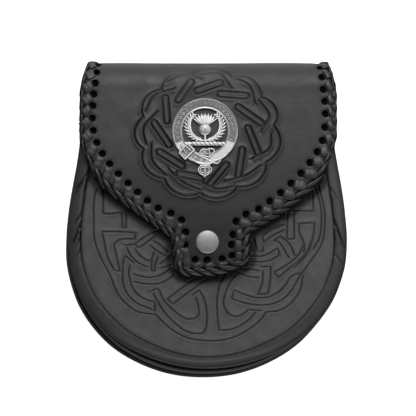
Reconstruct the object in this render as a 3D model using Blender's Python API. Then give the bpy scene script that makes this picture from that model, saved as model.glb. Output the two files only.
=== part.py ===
"""A leather sporran pouch, lying on its back with its front face up.

+X is the right-hand side seen from the front, +Y points to the fold of the
flap and +Z out of the front face. The origin is the middle of the outline,
on the surface that the belt loops rest on. Lengths are in millimetres until
a mesh is made, where MM turns them into metres.
"""

import math

import bmesh
import bpy
import numpy as np
from mathutils import Matrix, Vector
from mathutils.geometry import delaunay_2d_cdt

MM = 0.001
CLEARANCE = 0.3

# Leather thicknesses.
FRONT_THICK = 2.2
BACK_THICK = 2.2
GUSSET_THICK = 1.8
FLAP_THICK = 2.5
LACE_THICK = 1.2
LOOP_THICK = 2.0

# Heights above the surface that the pouch lies on.
STRAP_SLOT = 5.3
BACK_LOW = LOOP_THICK + STRAP_SLOT
BACK_TOP = BACK_LOW + BACK_THICK
FRONT_Z = 36.5
FRONT_CROWN = 2.5
SIDE_DROP = 2.5
FRONT_HALF_WIDTH = 82.0
FOLD_Y = 85.5
BACK_SHIFT_X = -1.2

# Middle of the whole outline, which becomes the origin.
MIDDLE_X, MIDDLE_Y = -1.2, 0.65

# The gusset's section: heights of its bulge, its seam and its foot.
LIMB_Z = 28.0
NECK_Z = 24.5
SEAM_Z = 19.6
LIP_Z = 14.0
PIPING_R = 1.2
BAND_STEPS = 3

# One half of the front panel's edge, from the mouth down to the middle of
# the bottom. band, welt and back say how far the bulge, the piping and the
# back panel reach past that edge; steps is the stations up to the next row.
POUCH_EDGE = (
    # x, y, band, welt, back, steps
    (72.0, 81.0, 8.0, 7.2, 8.8, 1),
    (72.9, 66.0, 8.0, 7.3, 8.9, 1),
    (74.3, 50.0, 8.2, 7.4, 9.0, 3),
    (76.2, 34.3, 8.6, 7.4, 9.3, 3),
    (78.5, 21.3, 8.6, 7.6, 9.4, 4),
    (80.9, 5.0, 8.5, 7.8, 9.6, 5),
    (82.1, -14.0, 8.4, 8.2, 9.8, 3),
    (81.0, -28.0, 8.5, 8.8, 10.4, 2),
    (77.6, -39.8, 8.6, 9.1, 11.0, 2),
    (72.6, -50.4, 8.6, 9.3, 11.5, 2),
    (65.0, -60.7, 8.5, 9.2, 12.0, 2),
    (53.0, -72.1, 8.2, 8.9, 12.5, 2),
    (37.2, -81.2, 7.4, 8.2, 12.8, 2),
    (18.5, -87.8, 6.6, 7.4, 12.5, 2),
    (0.0, -90.0, 6.3, 7.1, 12.0, 0),
)

# Slanting folds where the gusset's leather gathers at the sides.
GUSSET_FOLDS = (
    # side, y, lean, depth, width
    (-1, 26.0, 0.9, 1.0, 4.0),
    (-1, 0.0, 0.9, 1.0, 3.5),
    (-1, -12.0, 0.9, 0.9, 3.5),
    (-1, -22.0, 0.9, 0.7, 3.5),
    (1, 15.0, 0.9, 0.9, 4.0),
    (1, -6.0, 0.9, 0.9, 4.0),
)

# The line that the lace follows round the flap, corner by corner, with the
# radius of each bend. v is the distance along the leather: up to FOLD_Y it
# is the same as y, and past it the leather bends over the top.
LACE_LINE = (
    # x, v, radius
    (-79.5, 128.0, 0.0),
    (-79.6, 104.0, 25.0),
    (-84.2, 84.0, 40.0),
    (-84.3, 46.0, 30.0),
    (-69.0, 20.5, 60.0),
    (-24.2, -14.0, 6.0),
    (-22.3, -39.9, 10.0),
    (8.0, -39.4, 30.0),
    (28.6, -31.5, 6.0),
    (28.2, -10.6, 6.0),
    (50.0, 3.8, 60.0),
    (73.0, 23.5, 40.0),
    (85.4, 49.0, 30.0),
    (85.4, 84.0, 40.0),
    (80.6, 104.0, 25.0),
    (79.9, 128.0, 0.0),
)
LACE_PROUD = 1.7

# Lace holes, numbered round the flap; those between two rows are spaced
# evenly along a smooth curve.
LACE_HOLES = (
    # number, x, v
    (0, -70.0, 119.0),
    (3, -72.0, 95.0),
    (6, -74.4, 72.8),
    (8, -74.1, 56.5),
    (9, -71.8, 48.6),
    (11, -63.4, 34.6),
    (13, -51.4, 22.0),
    (16, -31.9, 5.7),
    (18, -16.7, -1.9),
    (19, -14.0, -9.7),
    (20, -14.5, -17.9),
    (21, -7.8, -27.6),
    (22, -0.1, -27.8),
    (23, 9.6, -27.0),
    (24, 16.2, -25.0),
    (25, 15.8, -17.9),
    (26, 16.7, -11.3),
    (27, 18.7, -2.7),
    (29, 33.3, 5.3),
    (32, 54.3, 22.0),
    (34, 66.6, 35.6),
    (36, 74.8, 50.1),
    (38, 76.8, 67.7),
    (40, 75.5, 83.7),
    (42, 73.5, 99.5),
    (45, 70.5, 123.0),
)
HOLE_R = 2.3
HOLE_SIDES = 8

# The flap over the front panel, round the fold and down to its sewn tail.
FLAP_GAP = 3.8
FOLD_REACH = 14.0
TAIL_HALF_WIDTH = 72.0
TAIL_LENGTH = 18.0
TAIL_CORNER = 6.0

# Spacing of the points that let a sheet bend, and their margin to its edge.
PANEL_GRID = 13.5
BEND_GRID = 4.5
EDGE_MARGIN = 3.5

# The lace's own section round the flap's edge. Its legs keep a little more
# than the usual clearance, because the flap's faces are flat between points.
LACE_LEG = 7.0
LACE_GAP = 0.45
LACE_SWELL = 0.35
STATIONS_PER_STITCH = 2

# Press stud.
SNAP_X, SNAP_Y = 0.0, -16.1
CAP_R = 7.5
CAP_HEIGHT = 2.3
SOCKET_R = 5.6
POST_R = 2.0
STUD_R = 5.5
KNOB_R = 3.0
RIVET_R = 1.6
ROUND_SIDES = 18

# Badge, in its own frame: ring centre at the origin, face up.
BADGE_X, BADGE_Y = -1.5, 55.9
RING_OUTER = 21.4
RING_INNER = 14.8
RIM_WIDTH = 1.2
RIM_HEIGHT = 2.3
BAND_HEIGHT = 1.4
RING_SIDES = 40
BADGE_POST_Y = 17.8
BADGE_POST_R = 1.0
BADGE_NUT_R = 2.8
BADGE_NUT_THICK = 1.0

# Belt loops on the back, as far each way from the back panel's middle.
LOOP_X = 42.0
LOOP_WIDTH = 24.0
LOOP_Y = 8.0
LOOP_FLAT = 44.0
LOOP_SLOPE = 6.0
LOOP_SEWN = 12.0

# Finish of each material: base colour, roughness and metallic value.
FINISHES = {
    "leather": ((0.035, 0.036, 0.034), 0.48, 0.0),
    "lace": ((0.030, 0.031, 0.030), 0.42, 0.0),
    "nickel": ((0.42, 0.42, 0.40), 0.32, 1.0),
    "silver": ((0.72, 0.73, 0.74), 0.22, 1.0),
}


def clear_scene():
    for obj in list(bpy.data.objects):
        bpy.data.objects.remove(obj, do_unlink=True)


def material(name, finish):
    """Return a Principled material with one of the named finishes."""
    colour, roughness, metallic = FINISHES[finish]
    made = bpy.data.materials.new(name)
    made.use_nodes = True
    shader = made.node_tree.nodes["Principled BSDF"]
    shader.inputs["Base Color"].default_value = (*colour, 1.0)
    shader.inputs["Roughness"].default_value = roughness
    shader.inputs["Metallic"].default_value = metallic
    return made


def add_object(name, shape, finish, angle=35.0, origin=(MIDDLE_X, MIDDLE_Y)):
    """Put a bmesh in millimetres into the scene as one closed object."""
    bmesh.ops.recalc_face_normals(shape, faces=shape.faces)
    bmesh.ops.translate(shape, vec=(-origin[0], -origin[1], 0.0), verts=shape.verts)
    bmesh.ops.scale(shape, vec=(MM, MM, MM), verts=shape.verts)
    mesh = bpy.data.meshes.new(name)
    shape.to_mesh(mesh)
    shape.free()
    mesh.shade_smooth()
    mesh.set_sharp_from_angle(angle=math.radians(angle))
    mesh.materials.append(material(name, finish))
    obj = bpy.data.objects.new(name, mesh)
    bpy.context.collection.objects.link(obj)
    return obj


def shape_from(points, faces):
    """Return a bmesh with the given points and faces."""
    shape = bmesh.new()
    made = [shape.verts.new(point) for point in points]
    for face in faces:
        shape.faces.new([made[i] for i in face])
    return shape


# --- curves -----------------------------------------------------------------

def smooth_through(keys, rows, wanted):
    """Catmull-Rom curve through rows given at rising keys, read at wanted."""
    rows = np.asarray(rows, float)
    keys = np.asarray(keys, float)
    slopes = np.gradient(rows, keys, axis=0)
    out = []
    for key in wanted:
        i = min(int(np.searchsorted(keys, key, side="right")) - 1, len(keys) - 2)
        span = keys[i + 1] - keys[i]
        t = (key - keys[i]) / span
        a, b = rows[i], rows[i + 1]
        ta, tb = slopes[i] * span, slopes[i + 1] * span
        out.append((2 * t**3 - 3 * t**2 + 1) * a + (t**3 - 2 * t**2 + t) * ta
                   + (-2 * t**3 + 3 * t**2) * b + (t**3 - t**2) * tb)
    return np.array(out)


def rounded(corners, step):
    """Points along straight runs and round bends through the corners."""
    points = [Vector(corners[0][:2])]
    for (ax, ay, _), (bx, by, radius), (cx, cy, _) in zip(corners, corners[1:], corners[2:]):
        corner = Vector((bx, by))
        back = (Vector((ax, ay)) - corner).normalized()
        ahead = (Vector((cx, cy)) - corner).normalized()
        half = back.angle(ahead) / 2
        centre = corner + (back + ahead).normalized() * radius / math.sin(half)
        first = corner + back * radius / math.tan(half) - centre
        last = corner + ahead * radius / math.tan(half) - centre
        turn = first.angle_signed(last)
        count = max(1, round(abs(turn) * radius / step))
        for k in range(count + 1):
            spin = Matrix.Rotation(-turn * k / count, 2)
            points.append(centre + spin @ first)
    points.append(Vector(corners[-1][:2]))
    return np.array(points)


def resample(points, count):
    """The same line with count points, evenly spaced along its length."""
    steps = np.hypot(*np.diff(points, axis=0).T)
    along = np.concatenate(([0.0], np.cumsum(steps)))
    wanted = np.linspace(0.0, along[-1], count)
    return np.column_stack([np.interp(wanted, along, points[:, k]) for k in (0, 1)])


def left_normals(points):
    """Unit normals to the left of a line's direction of travel."""
    along = np.gradient(points, axis=0)
    along /= np.hypot(*along.T)[:, None]
    return np.column_stack((-along[:, 1], along[:, 0]))


# --- forms that several pieces share ----------------------------------------

def front_height(x, y):
    """Height of the front panel's outer face, highest in the middle."""
    crown = FRONT_CROWN * (1 + math.cos(math.pi * y / FOLD_Y)) / 2
    return FRONT_Z + crown - SIDE_DROP * (x / FRONT_HALF_WIDTH)**2


def fold_length():
    """Length of leather that the bend over the top takes."""
    return math.pi * (FOLD_REACH + FLAP_THICK / 2)


def flap_point(x, v, h):
    """A point of the flap: across, along, and above its inner face."""
    tail_z = BACK_TOP + CLEARANCE + FLAP_THICK
    if v <= FOLD_Y:
        return (x, v, front_height(x, v) + FLAP_GAP + h)
    bend = (front_height(x, FOLD_Y) + FLAP_GAP - tail_z) / 2
    turn = math.pi * (v - FOLD_Y) / fold_length()
    if turn <= math.pi:
        y = FOLD_Y + (FOLD_REACH + h) * math.sin(turn)
        return (x, y, tail_z + bend + (bend + h) * math.cos(turn))
    return (x, FOLD_Y - (v - FOLD_Y - fold_length()), tail_z - h)


def pouch_stations():
    """Stations round the pouch: x, y, outward normal, band, welt, back."""
    half = np.array([row[:5] for row in POUCH_EDGE])
    rows = np.vstack((half, half[-2::-1] * (-1, 1, 1, 1, 1)))
    steps = [row[5] for row in POUCH_EDGE[:-1]]
    steps += steps[::-1]
    lengths = np.hypot(*np.diff(rows[:, :2], axis=0).T)
    keys = np.concatenate(([0.0], np.cumsum(lengths)))
    wanted = [keys[i] + (keys[i + 1] - keys[i]) * k / steps[i]
              for i in range(len(steps)) for k in range(steps[i])]
    made = smooth_through(keys, rows, wanted + [keys[-1]])
    return made, left_normals(made[:, :2])


def back_lean(z):
    """How far the body leans sideways at a height, most at the back."""
    return BACK_SHIFT_X * min(1.0, max(0.0, (SEAM_Z - z) / (SEAM_Z - BACK_TOP)))


def loft(sections):
    """Closed shape through closed sections with equal numbers of points."""
    count = len(sections[0])
    points = [point for section in sections for point in section]
    faces = []
    for i in range(len(sections) - 1):
        low, high = i * count, (i + 1) * count
        for k in range(count):
            n = (k + 1) % count
            faces.append((low + k, low + n, high + n, high + k))
    faces.append(tuple(range(count)))
    faces.append(tuple(range(len(points) - count, len(points))))
    return shape_from(points, faces)


def inside(polygon, points):
    """Which points lie inside a closed polygon."""
    hit = np.zeros(len(points), bool)
    for (ax, ay), (bx, by) in zip(polygon, np.roll(polygon, -1, axis=0)):
        if ay == by:
            continue
        crosses = (ay > points[:, 1]) != (by > points[:, 1])
        at = ax + (points[:, 1] - ay) * (bx - ax) / (by - ay)
        hit ^= crosses & (points[:, 0] < at)
    return hit


def gap_to(loop, points):
    """Distance of each point to the nearest point of a loop."""
    return np.min(np.hypot(points[:, None, 0] - loop[None, :, 0],
                           points[:, None, 1] - loop[None, :, 1]), axis=1)


def spaced(first, last, step):
    """Evenly spaced values from first to last, about a step apart."""
    return np.linspace(first, last, round((last - first) / step) + 1)


def sheet(outline, holes, place, thick, columns=(), rows=()):
    """A sheet with holes, cut flat and then set in place by place().

    Columns and rows cross at the points that let the sheet bend.
    """
    loops = [np.asarray(outline)] + [np.asarray(hole) for hole in holes]
    inner = np.array([(x, y) for y in rows for x in columns]).reshape(-1, 2)
    keep = inside(loops[0], inner)
    for loop in loops:
        keep &= gap_to(loop, inner) > EDGE_MARGIN
    flat = np.vstack(loops + [inner[keep]])
    edges, start = [], 0
    for loop in loops:
        ring = list(range(start, start + len(loop)))
        edges += list(zip(ring, ring[1:] + ring[:1]))
        start += len(loop)
    points, _, triangles, *_ = delaunay_2d_cdt([Vector(p) for p in flat], edges, [], 0, 1e-5)
    points = np.array([tuple(p) for p in points])
    middles = np.array([points[list(t)].mean(axis=0) for t in triangles])
    solid = inside(loops[0], middles)
    for hole in loops[1:]:
        solid &= ~inside(hole, middles)
    kept = [tuple(t) for t, ok in zip(triangles, solid) if ok]
    used = sorted({i for t in kept for i in t})
    number = {old: new for new, old in enumerate(used)}
    kept = [tuple(number[i] for i in t) for t in kept]
    count = len(used)
    solid_points = [place(x, y, h) for h in (0.0, thick) for x, y in points[used]]
    faces = [t[::-1] for t in kept] + [tuple(i + count for i in t) for t in kept]
    sides = {(t[k], t[(k + 1) % 3]) for t in kept for k in range(3)}
    faces += [(a, b, b + count, a + count) for a, b in sides if (b, a) not in sides]
    return shape_from(solid_points, faces)


def circle(x, y, radius, sides):
    """Corners of a circle's polygon."""
    turns = np.arange(sides) * 2 * math.pi / sides
    return np.column_stack((x + radius * np.cos(turns), y + radius * np.sin(turns)))


def turned(profile, sides):
    """A shape turned about Z from a profile of (radius, height) points."""
    shape = bmesh.new()
    ring = [shape.verts.new((radius, 0.0, z)) for radius, z in profile]
    edges = [shape.edges.new(pair) for pair in zip(ring, ring[1:] + ring[:1])
             if pair[0].co.x > 0 or pair[1].co.x > 0]
    bmesh.ops.spin(shape, geom=ring + edges, cent=(0, 0, 0), axis=(0, 0, 1),
                   angle=2 * math.pi, steps=sides, use_merge=True)
    bmesh.ops.remove_doubles(shape, verts=shape.verts, dist=0.001)
    return shape


def seat(x, y, h):
    """Frame that sits on the flap at a point, turned to the leather's slope."""
    step = 1.0
    here = Vector(flap_point(x, y, h))
    across = Vector(flap_point(x + step, y, h)) - here
    along = Vector(flap_point(x, y + step, h)) - here
    up = across.cross(along).normalized()
    along = up.cross(across).normalized()
    across = along.cross(up)
    return Matrix.Translation(here) @ Matrix((across, along, up)).transposed().to_4x4()


# --- leather pieces ---------------------------------------------------------

def make_back_panel():
    stations, normals = pouch_stations()
    edge = stations[:, :2] + normals * stations[:, 4:5] + (BACK_SHIFT_X, 0.0)
    shape = sheet(edge, [], lambda x, y, h: (x, y, BACK_LOW + h), BACK_THICK)
    return add_object("back_panel", shape, "leather")


def make_front_panel():
    stations, _ = pouch_stations()
    hole = circle(SNAP_X, SNAP_Y, RIVET_R + CLEARANCE, ROUND_SIDES // 2)

    def place(x, y, h):
        return (x, y, front_height(x, y) - FRONT_THICK + h)
    width = FRONT_HALF_WIDTH
    shape = sheet(stations[:, :2], [hole], place, FRONT_THICK,
                  spaced(-width, width, PANEL_GRID), spaced(-width, width, PANEL_GRID))
    return add_object("front_panel", shape, "leather")


def gusset_profile(x, y, band, welt, back):
    """Outer line of the gusset: (reach past the panel's edge, height)."""
    top = front_height(x, y)
    line = []
    for k in range(BAND_STEPS + 1):
        turn = math.pi / 2 * k / BAND_STEPS
        line.append((CLEARANCE + (band - CLEARANCE) * math.sin(turn),
                     LIMB_Z + (top - LIMB_Z) * math.cos(turn)))
    groove = welt - 2 * PIPING_R - CLEARANCE
    line += [(band - 0.6, NECK_Z), (groove + 0.3, SEAM_Z + 2.2), (groove, SEAM_Z),
             (groove + 0.3, SEAM_Z - 2.2), (back - 2.6, LIP_Z),
             (back - 1.4, BACK_TOP + CLEARANCE)]
    return np.array(line)


def fold_depth(x, y, reach):
    """How deep the gusset's folds are at a place on its bulge."""
    depth = 0.0
    for side, fold_y, lean, deep, width in GUSSET_FOLDS:
        if side * x > 0:
            depth += deep * math.exp(-((y + lean * reach - fold_y) / width)**2)
    return depth


def make_gusset():
    stations, normals = pouch_stations()
    sections = []
    for (x, y, band, welt, back), (nx, ny) in zip(stations, normals):
        outer = gusset_profile(x, y, band, welt, back)
        bulge = np.zeros(len(outer))
        bulge[1:BAND_STEPS + 2] = 1.0
        outer[:, 0] -= bulge * [fold_depth(x, y, reach) for reach in outer[:, 0]]
        inner = outer - left_normals(outer) * GUSSET_THICK
        inner[0] = outer[0] - (0.0, GUSSET_THICK)
        inner[-1] = outer[-1] - (GUSSET_THICK, 0.0)
        loop = np.vstack((outer, inner[::-1]))
        sections.append([(x + nx * reach + back_lean(z), y + ny * reach, z) for reach, z in loop])
    return add_object("gusset", loft(sections), "leather")


def make_piping():
    stations, normals = pouch_stations()
    sections = []
    for (x, y, band, welt, back), (nx, ny) in zip(stations, normals):
        ring = circle(welt - PIPING_R, SEAM_Z, PIPING_R, 6)
        sections.append([(x + nx * reach, y + ny * reach, z) for reach, z in ring])
    return add_object("piping", loft(sections), "leather")


def lace_edge():
    """The flap's leather edge under the lace, and normals into the leather."""
    stitches = LACE_HOLES[-1][0] + 1
    line = resample(rounded(LACE_LINE, 1.0), stitches * STATIONS_PER_STITCH + 1)
    normals = left_normals(line)
    return line + normals * LACE_PROUD, normals


def lace_holes():
    numbers = [row[0] for row in LACE_HOLES]
    return smooth_through(numbers, [row[1:] for row in LACE_HOLES], range(numbers[-1] + 1))


def make_flap():
    edge, _ = lace_edge()
    tail_v = FOLD_Y + fold_length()
    width = TAIL_HALF_WIDTH
    tail = rounded(((edge[-1][0], edge[-1][1], 0), (edge[-1][0], tail_v - 1, 3), (width, tail_v - 1, 1),
                    (width, tail_v + TAIL_LENGTH, TAIL_CORNER),
                    (-width, tail_v + TAIL_LENGTH, TAIL_CORNER), (-width, tail_v - 1, 1),
                    (edge[0][0], tail_v - 1, 3), (edge[0][0], edge[0][1], 0)), 5.0)
    outline = np.vstack((edge, tail[1:-1]))
    holes = [circle(x, v, HOLE_R, HOLE_SIDES) for x, v in lace_holes()]
    holes.append(circle(SNAP_X, SNAP_Y, POST_R + CLEARANCE, HOLE_SIDES))
    for y in (-BADGE_POST_Y, BADGE_POST_Y):
        holes.append(circle(BADGE_X, BADGE_Y + y, BADGE_POST_R + 1.5 * CLEARANCE, HOLE_SIDES))
    rows = np.concatenate((spaced(LACE_LINE[7][1], FOLD_Y, PANEL_GRID),
                           spaced(FOLD_Y + BEND_GRID, tail_v, BEND_GRID)))
    shape = sheet(outline, holes, flap_point, FLAP_THICK, spaced(-width, width, PANEL_GRID), rows)
    return add_object("flap", shape, "leather")


def lace_profile(swell):
    """Section of the lace round the edge: (past the edge, above inner face)."""
    low = -LACE_GAP
    high = FLAP_THICK + LACE_GAP
    thick = LACE_THICK + swell
    return ((-LACE_LEG, high), (CLEARANCE, high), (CLEARANCE, low), (-LACE_LEG, low),
            (-LACE_LEG, low - 0.6 * thick), (-LACE_LEG / 2, low - thick),
            (0.4, low - 0.8 * thick), (LACE_PROUD + swell, 0.4),
            (LACE_PROUD + swell, FLAP_THICK - 0.4), (0.4, high + 0.8 * thick),
            (-LACE_LEG / 2, high + thick), (-LACE_LEG, high + 0.6 * thick))


def make_flap_lacing():
    sections = []
    for i, ((x, v), (nx, nv)) in enumerate(zip(*lace_edge())):
        phase = 2 * math.pi * i / STATIONS_PER_STITCH
        swell = LACE_SWELL * -math.cos(phase)
        sections.append([flap_point(x - nx * out, v - nv * out, h) for out, h in lace_profile(swell)])
    return add_object("flap_lacing", loft(sections), "lace")


def make_belt_loop(name, x):
    """A strip sewn at both ends, standing off the back in between."""
    sewn = BACK_LOW - CLEARANCE - LOOP_THICK
    flat, slope = LOOP_FLAT / 2, LOOP_FLAT / 2 + LOOP_SLOPE
    ends = slope + LOOP_SEWN
    low = ((-ends, sewn), (-slope, sewn), (-flat, 0.0), (flat, 0.0), (slope, sewn), (ends, sewn))
    high = [(y, z + LOOP_THICK) for y, z in low]
    loop = list(low) + high[::-1]
    sections = [[(x + side * LOOP_WIDTH / 2, LOOP_Y + y, z) for y, z in loop] for side in (-1, 1)]
    return add_object(name, loft(sections), "leather")


# --- metal pieces -----------------------------------------------------------

def make_snap_cap():
    """Domed cap, its post through the flap, and the socket under it."""
    under = -FLAP_THICK - CLEARANCE
    profile = [(0.0, under - 1.3), (SOCKET_R - 0.4, under - 1.3), (SOCKET_R, under - 0.9),
               (SOCKET_R, under), (POST_R, under), (POST_R, CLEARANCE), (CAP_R - 0.5, CLEARANCE),
               (CAP_R, CLEARANCE + 0.5), (CAP_R - 0.4, CLEARANCE + 1.2)]
    for turn in (50, 30, 12):
        rise = CAP_HEIGHT * (1 - (math.sin(math.radians(turn)))**2 * 0.45)
        profile.append((CAP_R * math.sin(math.radians(turn)) / math.sin(math.radians(62)), rise))
    profile.append((0.0, CAP_HEIGHT))
    shape = turned(profile, ROUND_SIDES)
    shape.transform(seat(SNAP_X, SNAP_Y, FLAP_THICK))
    return add_object("snap_cap", shape, "nickel")


def make_snap_stud():
    """Stud on the front panel, riveted through it, under the cap's socket."""
    socket_low = -CLEARANCE - 1.3
    panel = -FLAP_GAP
    washer = panel - FRONT_THICK - CLEARANCE
    profile = [(0.0, washer - 0.8), (STUD_R - 1, washer - 0.8), (STUD_R - 1, washer), (RIVET_R, washer),
               (RIVET_R, panel + CLEARANCE), (STUD_R, panel + CLEARANCE), (STUD_R, panel + 1.0),
               (KNOB_R, panel + 1.2), (KNOB_R, socket_low - CLEARANCE), (0.0, socket_low - CLEARANCE)]
    shape = turned(profile, ROUND_SIDES // 2)
    shape.transform(seat(SNAP_X, SNAP_Y, 0.0))
    return add_object("snap_stud", shape, "nickel")


def plate(outline, low, high, holes=()):
    """A flat plate between two heights."""
    return sheet(outline, list(holes), lambda x, y, h: (x, y, low + h), high - low)


def oval(x, y, across, along, turn, sides, point=0.0):
    """An ellipse, pinched to a point at its far end where point is 1."""
    turns = np.arange(sides) * 2 * math.pi / sides
    u = along * np.cos(turns)
    w = across * np.sin(turns) * (1 - point * (0.5 + 0.5 * np.cos(turns))**1.5)
    c, s = math.cos(turn), math.sin(turn)
    return np.column_stack((x + u * c - w * s, y + u * s + w * c))


def badge_parts():
    """The badge's cast forms, to be fused: ring, buckle, tail and thistle."""
    rim, band = RIM_HEIGHT, BAND_HEIGHT
    ring = turned([(RING_INNER, 0.0), (RING_OUTER, 0.0), (RING_OUTER, rim - 0.4), (RING_OUTER - 0.4, rim),
                   (RING_OUTER - RIM_WIDTH, rim), (RING_OUTER - RIM_WIDTH, band),
                   (RING_INNER + RIM_WIDTH, band), (RING_INNER + RIM_WIDTH, rim),
                   (RING_INNER + 0.4, rim), (RING_INNER, rim - 0.4)], RING_SIDES)
    parts = [ring]
    # Buckle: a frame across the band at the lower left, and its prong.
    turn, r = math.radians(222), (RING_INNER + RING_OUTER) / 2
    bx, by = r * math.cos(turn), r * math.sin(turn)
    frame = np.array(((-5.4, -4.6), (-5.4, 4.6), (5.4, 4.6), (5.4, -4.6)))
    spin = np.array(((math.cos(turn), math.sin(turn)), (-math.sin(turn), math.cos(turn))))
    window = frame * 0.62 @ spin + (bx, by)
    parts.append(plate(frame @ spin + (bx, by), 0.4, 3.0, [window]))
    prong = np.array(((-0.7, -5.0), (-0.7, 4.6), (0.7, 4.6), (0.7, -5.0)))
    parts.append(plate(prong @ spin + (bx, by), 0.9, 2.7))
    # Tail of the strap: across the ring's foot, then hanging below it.
    parts.append(plate(((-9.5, -13.2), (6.6, -18.4), (5.2, -22.0), (-11.5, -17.4)), 0.6, 2.8))
    parts.append(plate(((-3.2, -12.0), (2.6, -12.0), (2.6, -20.5), (-3.2, -20.5)), 0.3, 2.4))
    parts.append(plate(((-3.0, -19.0), (2.4, -19.0), (2.6, -22.8), (4.0, -24.4), (2.6, -27.8),
                        (-0.3, -30.6), (-3.2, -27.8), (-4.6, -24.4), (-3.2, -22.8)), 0.5, 2.5))
    # Thistle: stem, two leaves, bulb and crown, on a bar across the ring.
    parts.append(plate(((-12.3, -8.6), (12.3, -8.6), (11.2, -10.9), (-11.2, -10.9)), 0.3, 1.9))
    parts.append(plate(((-0.9, -9.4), (0.9, -9.4), (0.8, 0.5), (-0.8, 0.5)), 0.4, 2.1))
    for side in (-1, 1):
        lean = math.radians(90 - side * 52)
        parts.append(plate(oval(side * 5.0, -4.2, 2.2, 7.0, lean, 10, 0.9), 0.5, 1.8))
    parts.append(plate(oval(0.0, 2.6, 4.4, 4.6, math.pi / 2, 12), 0.4, 2.9))
    for angle in (-56, -28, 0, 28, 56):
        lean = math.radians(90 - angle)
        parts.append(plate(oval(5.0 * math.cos(lean), 4.4 + 5.0 * math.sin(lean), 1.25, 4.4, lean, 8, 0.9),
                           0.6, 2.2))
    # Fixing posts behind the band, with the nuts that hold them.
    nut_top = -CLEARANCE - FLAP_THICK - CLEARANCE
    for y in (-BADGE_POST_Y, BADGE_POST_Y):
        post = turned([(0.0, nut_top - BADGE_NUT_THICK), (BADGE_NUT_R, nut_top - BADGE_NUT_THICK),
                       (BADGE_NUT_R, nut_top), (BADGE_POST_R, nut_top), (BADGE_POST_R, 0.7),
                       (0.0, 0.7)], 10)
        bmesh.ops.translate(post, vec=(0, y, 0), verts=post.verts)
        parts.append(post)
    return parts


def make_badge():
    """Fuse the badge's forms into one casting with Boolean unions."""
    place = seat(BADGE_X, BADGE_Y, FLAP_THICK + CLEARANCE)
    whole, *others = [add_object("badge", part, "silver", origin=(0.0, 0.0)) for part in badge_parts()]
    for other in others:
        union = whole.modifiers.new("union", "BOOLEAN")
        union.operation = "UNION"
        union.solver = "EXACT"
        union.object = other
    cast = bpy.data.meshes.new_from_object(whole.evaluated_get(bpy.context.evaluated_depsgraph_get()))
    for obj in (whole, *others):
        bpy.data.objects.remove(obj, do_unlink=True)
    shape = bmesh.new()
    shape.from_mesh(cast)
    bmesh.ops.scale(shape, vec=(1 / MM, 1 / MM, 1 / MM), verts=shape.verts)
    bmesh.ops.dissolve_degenerate(shape, dist=0.01, edges=shape.edges)
    bmesh.ops.triangulate(shape, faces=shape.faces)
    shape.transform(place)
    return add_object("badge", shape, "silver", angle=30.0)


def main():
    clear_scene()
    make_back_panel()
    make_gusset()
    make_piping()
    make_front_panel()
    make_flap()
    make_flap_lacing()
    make_snap_stud()
    make_snap_cap()
    make_badge()
    make_belt_loop("belt_loop_left", BACK_SHIFT_X - LOOP_X)
    make_belt_loop("belt_loop_right", BACK_SHIFT_X + LOOP_X)


main()
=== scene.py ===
# %% [markdown]
# # A leather sporran pouch
# The real thing is a flat, round-bottomed pouch of black leather that hangs in front of a kilt. Its
# flap folds over the top, is edged with leather lace, and closes with a press stud. Knotwork is pressed
# into the flap and the front, and a cast badge sits on the flap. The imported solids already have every
# main form in its place. Here each one gets a fine surface of its own, worked out with numpy in
# millimetres and put on the same spot.

import math

import bpy
import numpy as np
from mathutils import Matrix, Vector
from mathutils.geometry import delaunay_2d_cdt


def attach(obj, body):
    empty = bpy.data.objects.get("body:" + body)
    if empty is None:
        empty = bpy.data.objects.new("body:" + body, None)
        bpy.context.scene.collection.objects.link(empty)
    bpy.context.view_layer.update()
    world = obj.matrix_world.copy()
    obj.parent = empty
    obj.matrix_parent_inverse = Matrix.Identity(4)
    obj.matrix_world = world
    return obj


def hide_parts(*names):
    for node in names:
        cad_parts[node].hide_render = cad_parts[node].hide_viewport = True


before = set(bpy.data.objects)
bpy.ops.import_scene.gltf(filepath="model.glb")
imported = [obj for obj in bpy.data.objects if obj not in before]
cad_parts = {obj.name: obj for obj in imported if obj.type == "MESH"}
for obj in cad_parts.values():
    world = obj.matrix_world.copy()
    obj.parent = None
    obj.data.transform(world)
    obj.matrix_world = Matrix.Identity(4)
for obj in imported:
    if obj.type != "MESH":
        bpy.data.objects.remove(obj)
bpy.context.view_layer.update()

MM = 0.001
MIDDLE = np.array([-1.2, 0.65, 0.0])    # middle of the outline, which is the frame's origin
print("solids:", ", ".join(sorted(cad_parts)))

# %% [markdown]
# ## Where the camera stands
# The pouch lies on its back and a long lens looks down on it, tipped a little towards the bottom, because
# the photograph shows the layers that stick out behind the front there. The camera comes first, because
# a shape that is charted on the photograph needs the way back from a pixel to the leather.

# %% Camera
FRAME_PIXELS = 416
AIM = np.array([0.455, 6.3, 40.0])      # what the middle of the picture shows, on the front's level
PICTURE_WIDTH = 269.6                   # mm across the picture at that level
DISTANCE = 3000.0
TIP_DOWN = math.radians(4.0)
SENSOR = 36.0

toward = np.array([0.0, -math.tan(TIP_DOWN), 1.0])
toward /= np.linalg.norm(toward)
right = np.cross((0.0, 1.0, 0.0), toward)
right /= np.linalg.norm(right)
view_axes = np.array([right, np.cross(toward, right), toward])
eye = AIM + toward * DISTANCE

camera_data = bpy.data.cameras.new("camera")
camera_data.sensor_width = SENSOR
camera_data.lens = SENSOR * DISTANCE / PICTURE_WIDTH
camera_data.clip_start, camera_data.clip_end = 0.05, 20.0
camera = bpy.data.objects.new("camera", camera_data)
camera.matrix_world = (Matrix.Translation(Vector((eye - MIDDLE) * MM))
                       @ Matrix(view_axes.T.tolist()).to_4x4())
bpy.context.scene.collection.objects.link(camera)
bpy.context.scene.camera = camera


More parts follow.
